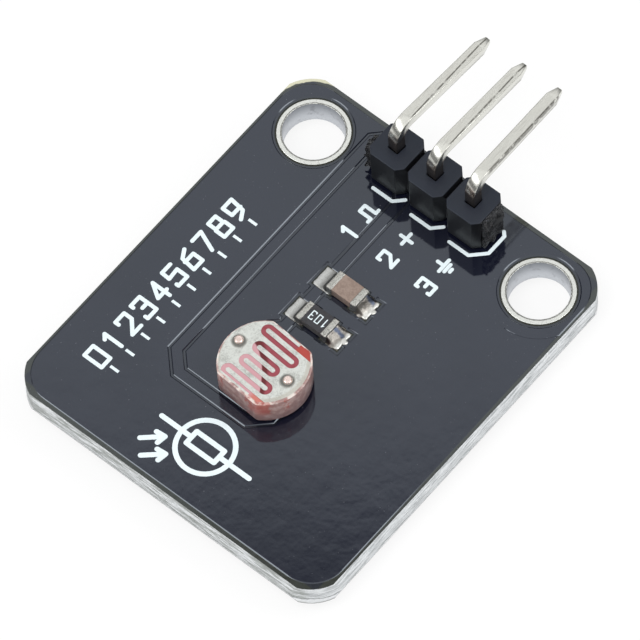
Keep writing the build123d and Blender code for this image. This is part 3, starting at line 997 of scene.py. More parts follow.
@dataclass(frozen=True)
class FilmFinish:
    """Sensing film under its lacquer: deep red, painted pale pink on one side of a bowed border as a painted
    reflection of the light in the lacquer.
    """

    # painted reflection of the light in the lacquer, on one side of the bowed border
    pale: Colour = srgb(188, 142, 148)
    dark: Colour = srgb(88, 20, 26)
    mid: Colour = srgb(138, 62, 72)
    cloudy: Colour = srgb(120, 38, 44)
    bright_patch: Colour = srgb(158, 62, 54)
    pale_patch: Colour = srgb(184, 108, 98)
    reflection_border_start: float = -0.109
    reflection_border_lean: float = 0.614
    reflection_border_sag: float = 0.18

    def material(self) -> bpy.types.Material:
        """Builds the finish.

        Returns:
            The material.
        """
        paint = SensorPaint("sensing_film")
        x, y = paint.spot()
        bow = (y - 0.4) / 0.8
        border = self.reflection_border_start + self.reflection_border_lean * y - self.reflection_border_sag * bow * bow
        past = x - border + (paint.noise(0.3, 2.0) - 0.5) * 0.06
        # painted pale reflection up to the bowed border, the film's own deep red beyond
        tone = paint.layered(
            self.pale,
            (self.dark, past.step(-0.03, 0.06)),
            (self.mid, past.step(0.3, 0.62)),
            (self.cloudy, paint.noise(0.5, 3.0).step(0.5, 0.7) * past.step(0.5, 0.9) * 0.6),
            (self.bright_patch, x.step(1.38, 1.5) * y.step(-0.72, -0.86)),
            (self.pale_patch, x.step(-1.55, -1.8) * y.step(-0.7, -1.1)),
        )
        relief = paint.bump(paint.noise(0.12, 4.0), 0.01)
        paint.surface(Base_Color=tone, Roughness=0.35, Normal=relief, IOR=1.5)
        return paint.material


@dataclass(frozen=True)
class ElectrodeFinish:
    """Evaporated silvery film with dents round the leads, and painted shade in the dents."""

    colour: Colour = srgb(205, 208, 203)
    shade: Colour = srgb(166, 168, 163)
    # painted shade in the dents round the leads
    painted_dent_shade: Colour = srgb(74, 76, 72)
    border: Colour = srgb(176, 172, 160)
    dent: Point = (-0.03, LEAD_Y - 0.02)
    dent_radii: Point = (0.46, 0.3)
    border_radii: Point = (2.18, 2.3)

    def material(self) -> bpy.types.Material:
        """Builds the finish.

        Returns:
            The material.
        """
        paint = SensorPaint("electrode_metal")
        x, y = paint.spot()
        grain = paint.noise(0.07, 5.0, 0.75)
        cloud = paint.noise(0.7, 3.0)
        dent = paint.distance(x, y.size(), self.dent).step(*self.dent_radii)
        border = (paint.distance(x, y, (0.0, 0.0)) + (grain - 0.5) * 0.1).step(*self.border_radii)
        tone = paint.layered(
            self.colour,
            (self.shade, (grain * 0.6 + cloud * 0.4).step(0.46, 0.62)),
            # painted shade in the dents
            (self.painted_dent_shade, dent * 0.85),
            (self.border, border * 0.6),
        )
        relief = paint.bump(grain * 0.12 - dent, 0.06)
        paint.surface(Base_Color=tone, Metallic=0.35, Roughness=0.42, Normal=relief)
        return paint.material


@dataclass(frozen=True)
class ResinFinish:
    """Pinkish casting resin round the sensor's plate, stained by the film."""

    colour: Colour = srgb(154, 124, 120)
    pale: Colour = srgb(180, 156, 152)
    foot: Colour = srgb(138, 104, 104)
    stain: Colour = srgb(164, 58, 44)
    lip: Colour = srgb(226, 220, 212)
    foot_levels: Point = (2.7, 1.9)
    stain_levels: Point = (2.3, 2.9)
    lip_levels: Point = (3.55, 3.6)
    stains: tuple[tuple[float, float, float], ...] = (
        (-2.0, -1.5, 0.45),
        (-2.1, -1.15, 0.3),
        (-1.83, -1.83, 0.4),
        (-0.9, -2.6, 0.22),
        (-1.97, -0.82, 0.22),
        (-1.96, 0.96, 0.25),
        (1.85, -1.4, 0.5),
        (1.95, -0.6, 0.35),
    )

    def material(self) -> bpy.types.Material:
        """Builds the finish.

        Returns:
            The material.
        """
        paint = SensorPaint("sensor_resin")
        cloud = paint.noise(0.6, 4.0)
        z = paint.along("Z")
        tone = paint.layered(
            self.colour,
            (self.pale, cloud.step(0.4, 0.65)),
            (self.foot, z.step(*self.foot_levels) * 0.6),
            (self.stain, paint.blots(self.stains) * z.step(*self.stain_levels) * 0.55),
            (self.lip, z.step(*self.lip_levels) * cloud.step(0.45, 0.6) * 0.7),
        )
        paint.surface(
            Base_Color=tone,
            Roughness=0.16,
            IOR=1.5,
            Subsurface_Weight=0.25,
            Subsurface_Radius=(0.4, 0.2, 0.15),
            Subsurface_Scale=0.0006,
            Normal=paint.bump(paint.noise(0.45, 3.0), 0.03),
        )
        return paint.material


@dataclass(frozen=True)
class MatteFinish:
    """Fired or printed surface of two close colours with a fine grain."""

    name: str
    colour: Colour
    other: Colour
    gloss: float = 0.4
    lumps: float = 0.25
    relief: float = 0.004

    def material(self) -> bpy.types.Material:
        """Builds the finish.

        Returns:
            The material.
        """
        paint = Paint(self.name)
        cloud = paint.noise(self.lumps, 4.0, 0.6)
        paint.surface(
            Base_Color=paint.mix(self.colour, self.other, cloud.step(0.35, 0.65)),
            Roughness=self.gloss,
            Normal=paint.bump(cloud, self.relief),
        )
        return paint.material


@dataclass
class Board:
    """Laminate, foil, solder mask and the rims of the mounting holes."""

    underside_edge: Edge = Edge(0.02)
    slope: float = 0.06
    sharpest_slope: float = math.radians(8)
    rim_edge: Edge = Edge(0.04, 3)
    sliver: tuple[float, float, float] = (0.5, 0.02, 0.03)
    sliver_density: float = 5.0
    sliver_tilt: tuple[float, float, float] = (0.02, 0.1, 0.02)
    sliver_least: tuple[float, float, float] = (0.3, 0.6, 0.5)
    sliver_most: tuple[float, float, float] = (1.6, 1.2, 1.8)
    sliver_sunk: float = 0.022
    web: Point = (0.5, 1.08)
    corner: float = 2.4

    def build(self) -> None:
        """Builds and dresses the board."""
        mask = MaskFinish().material()
        rim = RimFinish("hole_rim_tin", srgb(236, 238, 233), 0.2).material()
        tin = MetalFinish("tinned_foil", srgb(176, 172, 162), 0.3, stain=srgb(110, 96, 80), stained=0.6)
        foil = tin.material()
        laminate = LaminateFinish().material()
        repaint("board_core", laminate)
        for node in ("ground_copper", "signal_copper", "supply_copper"):
            repaint(node, foil)
        top = self.mask_shape()
        name = "solder_mask_top"
        put(f"{name}_dressed", top, mask, (name,), angle=self.sharpest_slope, flat=True)
        dress("solder_mask_bottom", mask, self.underside_edge, joined=False)
        for side in ("left", "right"):
            dress(f"{side}_mounting_hole_rim", rim, self.rim_edge, joined=False)
        put("snapped_fibres", self.fibres(laminate), laminate)

    def mask_shape(self) -> Shape:
        """Top mask, sunk between the foil areas, with slopes where it runs down over the foil's edges.

        Returns:
            The mask in the making.
        """
        shape = Shape.of_node("solder_mask_top", joined=False)
        outwards = {}
        for face in shape.form.faces:
            heights = [corner.co.z / MM for corner in face.verts]
            is_wall = abs(face.normal.z) < 0.1 and max(heights) - min(heights) > LEVEL_SLACK
            if is_wall and min(heights) > MASK_LOW - LEVEL_SLACK and max(heights) < COPPER_TOP + LEVEL_SLACK:
                for vertex in face.verts:
                    outwards[vertex] = outwards.get(vertex, Vector()) + face.normal
        for vertex, outward in outwards.items():
            fall = (MASK_TOP - vertex.co.z / MM) / (MASK_TOP - MASK_LOW)
            vertex.co += outward.normalized() * self.slope * fall * MM
        return shape

    def fibres(self, material: bpy.types.Material) -> Shape:
        """Slivers of broken glass fibre on the snapped sides.

        Args:
            material: their finish.

        Returns:
            All slivers of the four sides.
        """
        long, thick, tall = self.sliver
        plan = Plan("snapped_fibres", Long=long, Thick=thick, Tall=tall, Turn=0.0, Density=1.0, Seed=1)
        points = plan.node(
            "GeometryNodeDistributePointsOnFaces",
            {"distribute_method": "RANDOM"},
            Mesh=plan.seed,
            Density=plan.input("Density"),
            Seed=plan.input("Seed"),
        )
        size = plan.triple(plan.input("Long"), plan.input("Thick"), plan.input("Tall"))
        sliver = plan.node("GeometryNodeMeshCube", None, Size=size)
        untilt = tuple(-part for part in self.sliver_tilt)
        spread = {"data_type": "FLOAT_VECTOR"}
        tilt = plan.node("FunctionNodeRandomValue", spread, untilt, self.sliver_tilt)
        heading = plan.triple(0.0, 0.0, plan.input("Turn"))
        stretch = plan.node("FunctionNodeRandomValue", spread, self.sliver_least, self.sliver_most)
        placed = plan.node(
            "GeometryNodeInstanceOnPoints",
            None,
            Points=points,
            Instance=sliver,
            Rotation=plan.vector("ADD", heading, tilt),
            Scale=stretch,
        )
        plan.finish(placed, material)
        low, high = (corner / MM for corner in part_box("board_core"))
        runs = [(low[axis] + self.corner, high[axis] - self.corner) for axis in (0, 1)]
        sunk = Vector((self.sliver_sunk,) * 3)
        low, high = low + sunk, high - sunk
        bottom, top = self.web
        whole = Shape()
        sides = ((low.y, False), (high.y, False), (low.x, True), (high.x, True))
        for number, (level, along_y) in enumerate(sides):
            start, end = runs[1] if along_y else runs[0]
            outline = ((start, bottom), (end, bottom), (end, top), (start, top))
            corners = [(level, run, z) if along_y else (run, level, z) for run, z in outline]
            grown = plan.grow(
                wires(corners, faces=[(0, 1, 2, 3)]),
                Long=long * MM,
                Thick=thick * MM,
                Tall=tall * MM,
                Turn=math.pi / 2 if along_y else 0.0,
                Density=self.sliver_density / MM**2,
                Seed=number,
            )
            whole.form.from_mesh(grown.mesh("side"))
        return whole


class Mark(Enum):
    """Signs printed beside the numbers of the pins, in a cell one unit high."""

    PULSE = (((0.0, 0.1), (0.25, 0.1), (0.25, 0.9), (0.7, 0.9), (0.7, 0.1), (0.95, 0.1)),)
    PLUS = (((0.1, 0.5), (0.9, 0.5)), ((0.5, 0.1), (0.5, 0.9)))
    EARTH = (
        ((0.5, 1.0), (0.5, 0.55)),
        ((0.05, 0.55), (0.95, 0.55)),
        ((0.22, 0.3), (0.78, 0.3)),
        ((0.4, 0.05), (0.6, 0.05)),
    )


GLYPH_WIDTH = 0.6
GLYPHS: dict[str, tuple[tuple[Point, ...], ...]] = {
    "0": (((0, 0), (0, 1), (0.6, 1), (0.6, 0), (0, 0)),),
    "1": (((0.1, 0.8), (0.32, 1), (0.32, 0)),),
    "2": (((0, 0.8), (0, 1), (0.6, 1), (0.6, 0.55), (0, 0), (0.6, 0)),),
    "3": (
        ((0, 0.85), (0, 1), (0.6, 1), (0.6, 0.53), (0.25, 0.53)),
        ((0.6, 0.53), (0.6, 0), (0, 0), (0, 0.15)),
    ),
    "4": (((0.45, 0), (0.45, 1), (0, 0.3), (0.6, 0.3)),),
    "5": (((0.6, 1), (0.03, 1), (0, 0.55), (0.6, 0.6), (0.6, 0), (0, 0), (0, 0.12)),),
    "6": (((0.52, 1), (0.1, 0.75), (0, 0), (0.6, 0), (0.6, 0.55), (0.03, 0.55)),),
    "7": (((0, 1), (0.6, 1), (0.2, 0)),),
    "8": (
        ((0.05, 0.54), (0.05, 1), (0.55, 1), (0.55, 0.54), (0.05, 0.54)),
        ((0.05, 0.54), (0, 0.5), (0, 0), (0.6, 0), (0.6, 0.5), (0.55, 0.54)),
    ),
    "9": (((0.08, 0), (0.5, 0.25), (0.6, 1), (0, 1), (0, 0.45), (0.57, 0.45)),),
}


@dataclass
class Print:
    """White marks: number scale, circuit symbol, the pins' numbers and outline, and a value code."""

    thickness: float = 0.014
    sunk: float = 0.002
    layer: float = 0.0004
    layers: int = 11
    scale: str = "0123456789"
    scale_start: Point = (-17.4, 7.1)
    scale_height: float = 1.15
    scale_pitch: float = 1.22
    scale_stroke: float = 0.22
    tick_top: float = 6.8
    tick_long: float = 0.55
    tick_stroke: float = 0.16
    symbol: Point = (-17.6, 0.0)
    symbol_radius: float = 1.55
    symbol_sides: int = 44
    symbol_box: Point = (0.42, 0.92)
    symbol_lead: float = 2.9
    symbol_stroke: float = 0.28
    arrow: tuple[tuple[Point, ...], ...] = (((-0.85, 0.95), (0, 0)), ((-0.5, 0.08), (0, 0), (-0.05, 0.52)))
    arrow_tips: tuple[Point, Point] = ((-1.57, 1.32), (-0.82, 1.995))
    label_x: float = -3.68
    label_height: float = 0.92
    label_rows: tuple[float, ...] = (1.82, -0.73, -3.28)
    label_stroke: float = 0.2
    sign_shift: float = 1.32
    bracket: tuple[Point, ...] = ((-1.52, 0.45), (-1.52, -0.82), (-1.03, -1.31))
    end_bracket: tuple[Point, ...] = (
        (-1.52, 0.45),
        (-1.52, -0.82),
        (-0.78, -1.56),
        (0.5, -1.56),
        (0.7, -1.36),
    )
    bracket_stroke: float = 0.2
    code_y: float = -0.46
    code_height: float = 0.5
    code_pitch: float = 0.39
    code_narrow: float = 0.72
    code_stroke: float = 0.055

    def build(self) -> None:
        """Prints all marks."""
        ink = InkFinish().material()
        plan = self.stroke_plan(ink)
        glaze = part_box("resistor_glaze")[1].z / MM
        for name, lines, stroke, level in (
            ("number_scale", self.scale_lines(), self.scale_stroke, MASK_TOP),
            ("circuit_symbol", self.symbol_lines(), self.symbol_stroke, MASK_TOP),
            ("pin_numbers", self.label_lines(), self.label_stroke, MASK_TOP),
            ("pin_brackets", self.bracket_lines(), self.bracket_stroke, MASK_TOP),
            ("value_code", self.code_lines(), self.code_stroke, glaze),
        ):
            put(name, self.laid(plan, lines, stroke, level), ink)
        self.ticks(ink)

    def stroke_plan(self, ink: bpy.types.Material) -> Plan:
        """Tree that turns each bare edge into a flat stroke with round ends.

        Args:
            ink: the strokes' finish.

        Returns:
            The tree.
        """
        plan = Plan("ink_strokes", Stroke=0.2, Thickness=0.01, Step=0.0)
        stroke, thick = plan.input("Stroke"), plan.input("Thickness")
        curve = plan.node("GeometryNodeMeshToCurve", None, plan.seed)
        level = plan.node("GeometryNodeSetCurveNormal", {"mode": "Z_UP"}, Curve=curve)
        profile = plan.node("GeometryNodeCurvePrimitiveQuadrilateral", {"mode": "RECTANGLE"}, stroke, thick)
        bars = plan.node("GeometryNodeCurveToMesh", None, Curve=level, Profile_Curve=profile, Fill_Caps=True)
        dot = plan.node("GeometryNodeMeshCylinder", None, Vertices=18, Radius=stroke * 0.5, Depth=thick)
        drop = plan.triple(0.0, 0.0, -plan.input("Step"))
        lower = plan.node("GeometryNodeSetPosition", None, Geometry=dot, Offset=drop)
        ends = plan.node("GeometryNodeInstanceOnPoints", None, Points=plan.seed, Instance=lower)
        return plan.finish(plan.join(bars, ends), ink)

    def laid(self, plan: Plan, lines: Sequence[Sequence[Point]], stroke: float, level: float) -> Shape:
        """A set of printed lines.

        Args:
            plan: the tree of strokes.
            lines: lists of points in millimetres.
            stroke: the strokes' width.
            level: height of the surface that they lie on.

        Returns:
            The strokes in the making.
        """
        points, edges = [], []
        for line in lines:
            for start, end in zip(line, line[1:]):
                rise = level + self.thickness / 2 - self.sunk - self.layer * (len(edges) % self.layers)
                edges.append((len(points), len(points) + 1))
                points += [(*start, rise), (*end, rise)]
        step = self.layer * MM / 2
        return plan.grow(wires(points, edges), Stroke=stroke * MM, Thickness=self.thickness * MM, Step=step)

    def letters(
        self, text: str, start: Point, height: float, pitch: float, turn: float = 0.0, narrow: float = 1.0
    ) -> list[list[Point]]:
        """Strokes of a row of digits.

        Args:
            text: the digits.
            start: lower left corner of the first.
            height: their height.
            pitch: from one digit to the next.
            turn: direction of reading, in degrees from +X.
            narrow: the digits' width as a share of their own.

        Returns:
            Lists of points in millimetres.
        """
        cos, sin = math.cos(math.radians(turn)), math.sin(math.radians(turn))
        lines = []
        for number, digit in enumerate(text):
            for stroke in GLYPHS[digit]:
                local = [(number * pitch + u * height * narrow, v * height) for u, v in stroke]
                lines.append([(start[0] + u * cos - v * sin, start[1] + u * sin + v * cos) for u, v in local])
        return lines

    def scale_lines(self) -> list[list[Point]]:
        """Numbers of the scale along the board's long side."""
        return self.letters(self.scale, self.scale_start, self.scale_height, self.scale_pitch)

    def symbol_lines(self) -> list[list[Point]]:
        """Circuit symbol of a light-dependent resistor, with its circle, leads and two arrows.

        Returns:
            Lists of points in millimetres.
        """
        cx, cy = self.symbol
        radius = self.symbol_radius
        turns = [math.tau * number / self.symbol_sides for number in range(self.symbol_sides + 1)]
        circle = [(cx + radius * math.cos(turn), cy + radius * math.sin(turn)) for turn in turns]
        half_x, half_y = self.symbol_box
        corners = ((-1, -1), (1, -1), (1, 1), (-1, 1), (-1, -1))
        lines = [circle, [(cx + u * half_x, cy + v * half_y) for u, v in corners]]
        lines += [[(cx, cy + side * half_y), (cx, cy + side * self.symbol_lead)] for side in (1, -1)]
        for tip_x, tip_y in self.arrow_tips:
            lines += [[(cx + tip_x + u, cy + tip_y + v) for u, v in stroke] for stroke in self.arrow]
        return lines

    def label_lines(self) -> list[list[Point]]:
        """Numbers and signs beside the pins.

        Returns:
            Lists of points in millimetres.
        """
        lines = []
        height = self.label_height
        for digit, mark, row in zip("123", (Mark.PULSE, Mark.PLUS, Mark.EARTH), self.label_rows):
            lines += self.letters(digit, (self.label_x, row), height, 1.0)
            left = self.label_x + self.sign_shift
            lines += [[(left + u * height, row + v * height) for u, v in stroke] for stroke in mark.value]
        return lines

    def bracket_lines(self) -> list[list[Point]]:
        """Outline of the header's cells on the side of the board's middle, and round its last end."""
        outlines = (self.bracket, self.bracket, self.end_bracket)
        return [[(PIN_X + x, row + y) for x, y in outline] for row, outline in zip(PIN_ROWS, outlines)]

    def code_lines(self) -> list[list[Point]]:
        """Value code of the resistor, read along +Y."""
        start = (RESISTOR_X + self.code_height / 2, self.code_y)
        return self.letters("103", start, self.code_height, self.code_pitch, 90.0, self.code_narrow)

    def ticks(self, ink: bpy.types.Material) -> None:
        """Prints the scale's ticks, as a row of equal bars.

        Args:
            ink: their finish.
        """
        plan = Plan("scale_ticks", Count=10, Pitch=1.0, Long=0.5, Stroke=0.1, Thickness=0.01)
        step = plan.triple(plan.input("Pitch"), 0.0, 0.0)
        row = plan.node("GeometryNodeMeshLine", None, Count=plan.input("Count"), Offset=step)
        size = plan.triple(plan.input("Stroke"), plan.input("Long"), plan.input("Thickness"))
        bar = plan.node("GeometryNodeMeshCube", None, Size=size)
        bars = plan.node("GeometryNodeInstanceOnPoints", None, Points=row, Instance=bar)
        plan.finish(bars, ink)
        middle = self.scale_start[0] + GLYPH_WIDTH / 2 * self.scale_height
        grown = plan.grow(
            wires([(0, 0, 0)]),
            Count=len(self.scale),
            Pitch=self.scale_pitch * MM,
            Long=self.tick_long * MM,
            Stroke=self.tick_stroke * MM,
            Thickness=self.thickness * MM,
        )
        level = MASK_TOP + self.thickness / 2 - self.sunk
        lift = Vector((middle, self.tick_top - self.tick_long / 2, level))
        put("scale_ticks", grown.move(lambda point: point + lift), ink)


@dataclass(frozen=True)
class TornEnd:
    """One ragged end of the plastic strip, where it was snapped from a longer one."""

    name: str
    side: int
    past: float
    ragged: float
    seed: float
    width: float
    height: float
    shift: float
    rise: float


@dataclass
class Header:
    """Plastic strip with its snapped ends, square pins and their joints."""

    pin_edge: Edge = Edge(0.05, 3)
    strip_edge: Edge = Edge(0.045)
    torn_depth: float = 0.5
    torn_lump: float = 0.5
    torn_cuts: tuple[int, int, int] = (18, 8, 30)
    torn_angle: float = math.radians(20)
    ends: tuple[TornEnd, TornEnd] = (
        TornEnd("torn_end_ground", -1, -0.1, 0.36, 3.0, 1.55, 2.44, 0.0, 0.02),
        TornEnd("torn_end_output", 1, 0.06, 0.5, 2.3, 0.85, 2.0, -0.38, -0.2),
    )

    def build(self) -> None:
        """Builds and dresses the header."""
        plastic = PlasticFinish().material()
        dress("header_housing", plastic, self.strip_edge, joined=False)
        torn = PlasticFinish(roughness=0.35, dusty=0.9, clean=0.55, name="torn_plastic").material()
        plan = self.torn_plan(torn)
        for end in self.ends:
            put(end.name, self.torn_end(plan, end), torn, angle=self.torn_angle)
        metal = PinFinish("pin_tin", srgb(224, 224, 217), 0.2, 0.8, 0.004).material()
        tin = MetalFinish("joint_solder", srgb(214, 215, 213), 0.18, 0.5, 0.01).material()
        for pin in ("output_pin", "supply_pin", "ground_pin"):
            dress(pin, metal, self.pin_edge)
            dress(f"{pin}_solder", tin, self.pin_edge)

    def torn_end(self, plan: Plan, end: TornEnd) -> Shape:
        """Ragged block at one end of the strip, with its torn side outwards.

        Args:
            plan: the tree of torn blocks.
            end: which end, with its sizes.

        Returns:
            The block in the making.
        """
        low, high = (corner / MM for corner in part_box("header_housing"))
        grown = plan.grow(
            wires([(0, 0, 0)]),
            Width=end.width * MM,
            Depth=self.torn_depth * MM,
            Height=end.height * MM,
            Ragged=end.ragged * MM,
            Lump=self.torn_lump * MM,
            Shift=end.seed,
        )
        face = (high.y if end.side > 0 else low.y) + end.side * end.past
        middle = (low.z + high.z) / 2 + end.rise
        lift = Vector((PIN_X + end.shift, face - end.side * self.torn_depth / 2, middle))
        return grown.move(lambda point: Vector((point.x, end.side * point.y, point.z)) + lift)

    def torn_plan(self, material: bpy.types.Material) -> Plan:
        """Tree of a block whose outer side is torn ragged.

        Args:
            material: its finish.

        Returns:
            The tree.
        """
        plan = Plan("torn_end", Width=1.4, Depth=0.3, Height=2.0, Ragged=0.1, Lump=0.3, Shift=0.0)
        depth = plan.input("Depth")
        size = plan.triple(plan.input("Width"), depth, plan.input("Height"))
        block = plan.node("GeometryNodeMeshCube", None, size, *self.torn_cuts)
        place = plan.node("GeometryNodeInputPosition")
        shift = plan.triple(plan.input("Shift"), plan.input("Shift"), 0.0)
        where = plan.vector("ADD", plan.vector("SCALE", place, Scale=1 / plan.input("Lump")), shift)
        rough = plan.node(
            "ShaderNodeTexNoise", None, Vector=where, Scale=1.0, Detail=4.0, Roughness=0.7, out="Color"
        )
        swing = plan.vector("SUBTRACT", rough, (0.5, 0.5, 0.5))
        outward = plan.part(place, "Y") / depth + 0.5
        reach = plan.input("Ragged") * outward * 2
        moved = plan.node(
            "GeometryNodeSetPosition", None, Geometry=block, Offset=plan.vector("SCALE", swing, Scale=reach)
        )
        return plan.finish(moved, material)


@dataclass
class Photoresistor:
    """Sensor plate, film, electrodes, resin and leads."""

    coat_edge: Edge = Edge(0.045, 3)
    lead_edge: Edge = Edge(0.07, 4)

    def build(self) -> None:
        """Builds and dresses the sensor."""
        ceramic = MatteFinish("sensor_ceramic", srgb(214, 210, 204), srgb(190, 186, 180)).material()
        metal = ElectrodeFinish().material()
        lead = MetalFinish("lead_tin", srgb(252, 232, 224), 0.2, 0.3, stain=srgb(206, 180, 168)).material()
        tin = MetalFinish("lead_solder", srgb(214, 215, 213), 0.18, 0.5, 0.01).material()
        repaint("sensor_disc", ceramic)
        repaint("sensor_film", FilmFinish().material())
        dress("sensor_coat", ResinFinish().material(), self.coat_edge, joined=False)
        for net in ("signal", "supply"):
            name = f"{net}_electrode"
            dress(name, metal, None, joined=False)
            dress(f"{net}_lead", lead, self.lead_edge)
            dress(f"{net}_lead_solder", tin, self.coat_edge)


class End(Enum):
    """The two ends of a chip, by the side of the board that they face."""

    SIGNAL = 1
    GROUND = -1


@dataclass(frozen=True)
class Pool:
    """Solder on one land, as a height field inside a rounded outline with tabs."""

    x: float
    end: End
    chip_end: float
    rise: float
    reach: float
    tabs: tuple[tuple[float, float, float, float], ...] = ()
    fullness: float = 0.07
    seed: float = 0.0
    rays: int = 108
    rings: int = 16
    overlap: float = 0.015
    corner: float = 0.12
    ragged: float = 0.035
    ragged_rate: float = 4.0
    lump_rate: float = 3.0
    dome_width: float = 0.2
    foot_width: float = 0.1
    flank: Point = (0.44, 0.64)
    search_from: float = 0.2
    search_to: float = 1.5
    search_step: float = 0.004
    sill: float = 1.536

    def centre(self) -> Point:
        """Middle of the land."""
        return (self.x, LAND_MIDDLE_Y + self.end.value * LAND_OFFSET)

    def inside(self, x: float, y: float) -> float:
        """Depth of a place inside the outline.

        Args:
            x: place across the land, from the land's middle.
            y: place along the land, from the land's middle.

        Returns:
            The depth in millimetres, below 0 outside.
        """
        depth = -math.inf
        land = (0.0, 0.0, LAND_HALF[0] + self.overlap, LAND_HALF[1] + self.overlap)
        for cx, cy, half_x, half_y in (land, *self.tabs):
            corner = min(self.corner, half_x, half_y)
            out_x = abs(x - cx) - half_x + corner
            out_y = abs(y - cy) - half_y + corner
            away = math.hypot(max(out_x, 0), max(out_y, 0)) + min(max(out_x, out_y), 0) - corner
            depth = max(depth, -away)
        ragged = noise.noise(Vector((x * self.ragged_rate + self.seed, y * self.ragged_rate, self.seed)))
        return depth + self.ragged * ragged

    def height(self, x: float, y: float) -> float:
        """Height of the solder above the foil.

        Args:
            x: place across the land, from the land's middle.
            y: place along the land, from the land's middle.

        Returns:
            The height in millimetres.
        """
        depth = max(self.inside(x, y), 0.0)
        share = min(depth / self.dome_width, 1.0)
        dome = self.fullness * math.sqrt(max(1 - (1 - share) ** 2, 0))
        out = self.end.value * (self.centre()[1] + y - self.chip_end)
        slope = 1 - min(max(out / self.reach, 0.0), 1.0)
        flank = 1 - eased(abs(x), *self.flank)
        lumps = noise.noise(Vector((x * self.lump_rate, y * self.lump_rate, self.seed + 4.0)))
        climb = self.rise * slope**1.6 * flank * min(depth / self.foot_width, 1.0)
        return dome * (1 + 0.2 * lumps) + climb * (1 + 0.1 * lumps)

    def shape(self) -> Shape:
        """Closed mesh of the pool.

        Returns:
            The mesh in the making.
        """
        made = Shape()
        cx, cy = self.centre()
        loops = []
        for ray in range(self.rays):
            turn = math.tau * ray / self.rays
            cos, sin = math.cos(turn), math.sin(turn)
            far = self.search_from
            while self.inside(far * cos, far * sin) > 0 and far < self.search_to:
                far += self.search_step
            loops.append((cos, sin, far))
        form = made.form
        top = form.verts.new(Vector((cx, cy, COPPER_TOP + self.height(0, 0))) * MM)
        rings = []
        for ring in range(1, self.rings + 1):
            share = math.sin(0.5 * math.pi * ring / self.rings)
            verts = []
            for cos, sin, far in loops:
                x, y = share * far * cos, share * far * sin
                verts.append(form.verts.new(Vector((cx + x, cy + y, COPPER_TOP + self.height(x, y))) * MM))
            rings.append(verts)
        rings.append([form.verts.new(Vector((rim.co.x, rim.co.y, self.sill * MM))) for rim in rings[-1]])
        bottom = form.verts.new(Vector((cx, cy, self.sill)) * MM)
        for ray in range(self.rays):
            after = (ray + 1) % self.rays
            form.faces.new((top, rings[0][ray], rings[0][after]))
            form.faces.new((bottom, rings[-1][after], rings[-1][ray]))
            for inner, outer in zip(rings, rings[1:]):
                form.faces.new((inner[ray], outer[ray], outer[after], inner[after]))
        return made


@dataclass
class Chips:
    """Chip resistor and chip capacitor on their soldered lands."""

    body_edge: Edge = Edge(0.03)
    glaze_edge: Edge = Edge(0.015)
    resistor_edge: Edge = Edge(0.07, 4)
    capacitor_edge: Edge = Edge(0.1, 5)
    resistor_ends: Point = (1.12, -0.88)
    capacitor_ends: Point = (1.0, -1.0)
    ground_tabs: tuple[tuple[float, float, float, float], ...] = (
        (0.02, -0.6, 0.16, 0.15),
        (-0.59, -0.15, 0.11, 0.15),
        (0.59, -0.05, 0.1, 0.09),
    )
    pool_angle: float = math.radians(60)

    def build(self) -> None:
        """Builds and dresses both chips."""
        body = MatteFinish("chip_alumina", srgb(92, 91, 90), srgb(70, 70, 70)).material()
        glaze = MatteFinish("chip_glaze", srgb(40, 40, 43), srgb(50, 50, 54), 0.3).material()
        fired = MatteFinish("capacitor_ceramic", srgb(140, 123, 113), srgb(124, 107, 97), 0.3, 0.12)
        ends = MetalFinish("end_cap_tin", srgb(206, 206, 200), 0.34, 0.08, 0.035, srgb(112, 109, 102), 0.7)
        lands = LandFinish("land_solder", srgb(206, 208, 206), 0.26, 0.14, 0.02, srgb(142, 138, 130), 0.6)
        cap, tin = ends.material(), lands.material()
        dress("resistor_body", body, self.body_edge)
        dress("resistor_glaze", glaze, self.glaze_edge)
        dress("capacitor_body", fired.material(), self.body_edge)
        for chip, edge in (("resistor", self.resistor_edge), ("capacitor", self.capacitor_edge)):
            for end in ("signal", "ground"):
                name = f"{chip}_{end}_cap"
                put(f"{name}_rounded", Shape.block(name), cap, (name,), edge)
        for name, pool in self.pools().items():
            put(f"{name}_pool", pool.shape(), tin, (f"{name}_solder",), angle=self.pool_angle)

    def pools(self) -> dict[str, Pool]:
        """Solder of the four lands, by the names of the frame's nodes.

        Returns:
            The pools.
        """
        chips = (
            ("resistor", RESISTOR_X, self.resistor_ends, (0.26, 0.3), (0.36, 0.62)),
            ("capacitor", CAPACITOR_X, self.capacitor_ends, (0.3, 0.34), (0.44, 0.55)),
        )
        made = {}
        for chip, x, chip_ends, *climbs in chips:
            for end, chip_end, (rise, reach) in zip(End, chip_ends, climbs):
                tabs, fullness = (self.ground_tabs, 0.08) if end is End.GROUND else ((), 0.035)
                seed = len(made) + 1.0
                name = f"{chip}_{end.name.lower()}"
                made[name] = Pool(x, end, chip_end, rise, reach, tabs, fullness, seed)
        return made


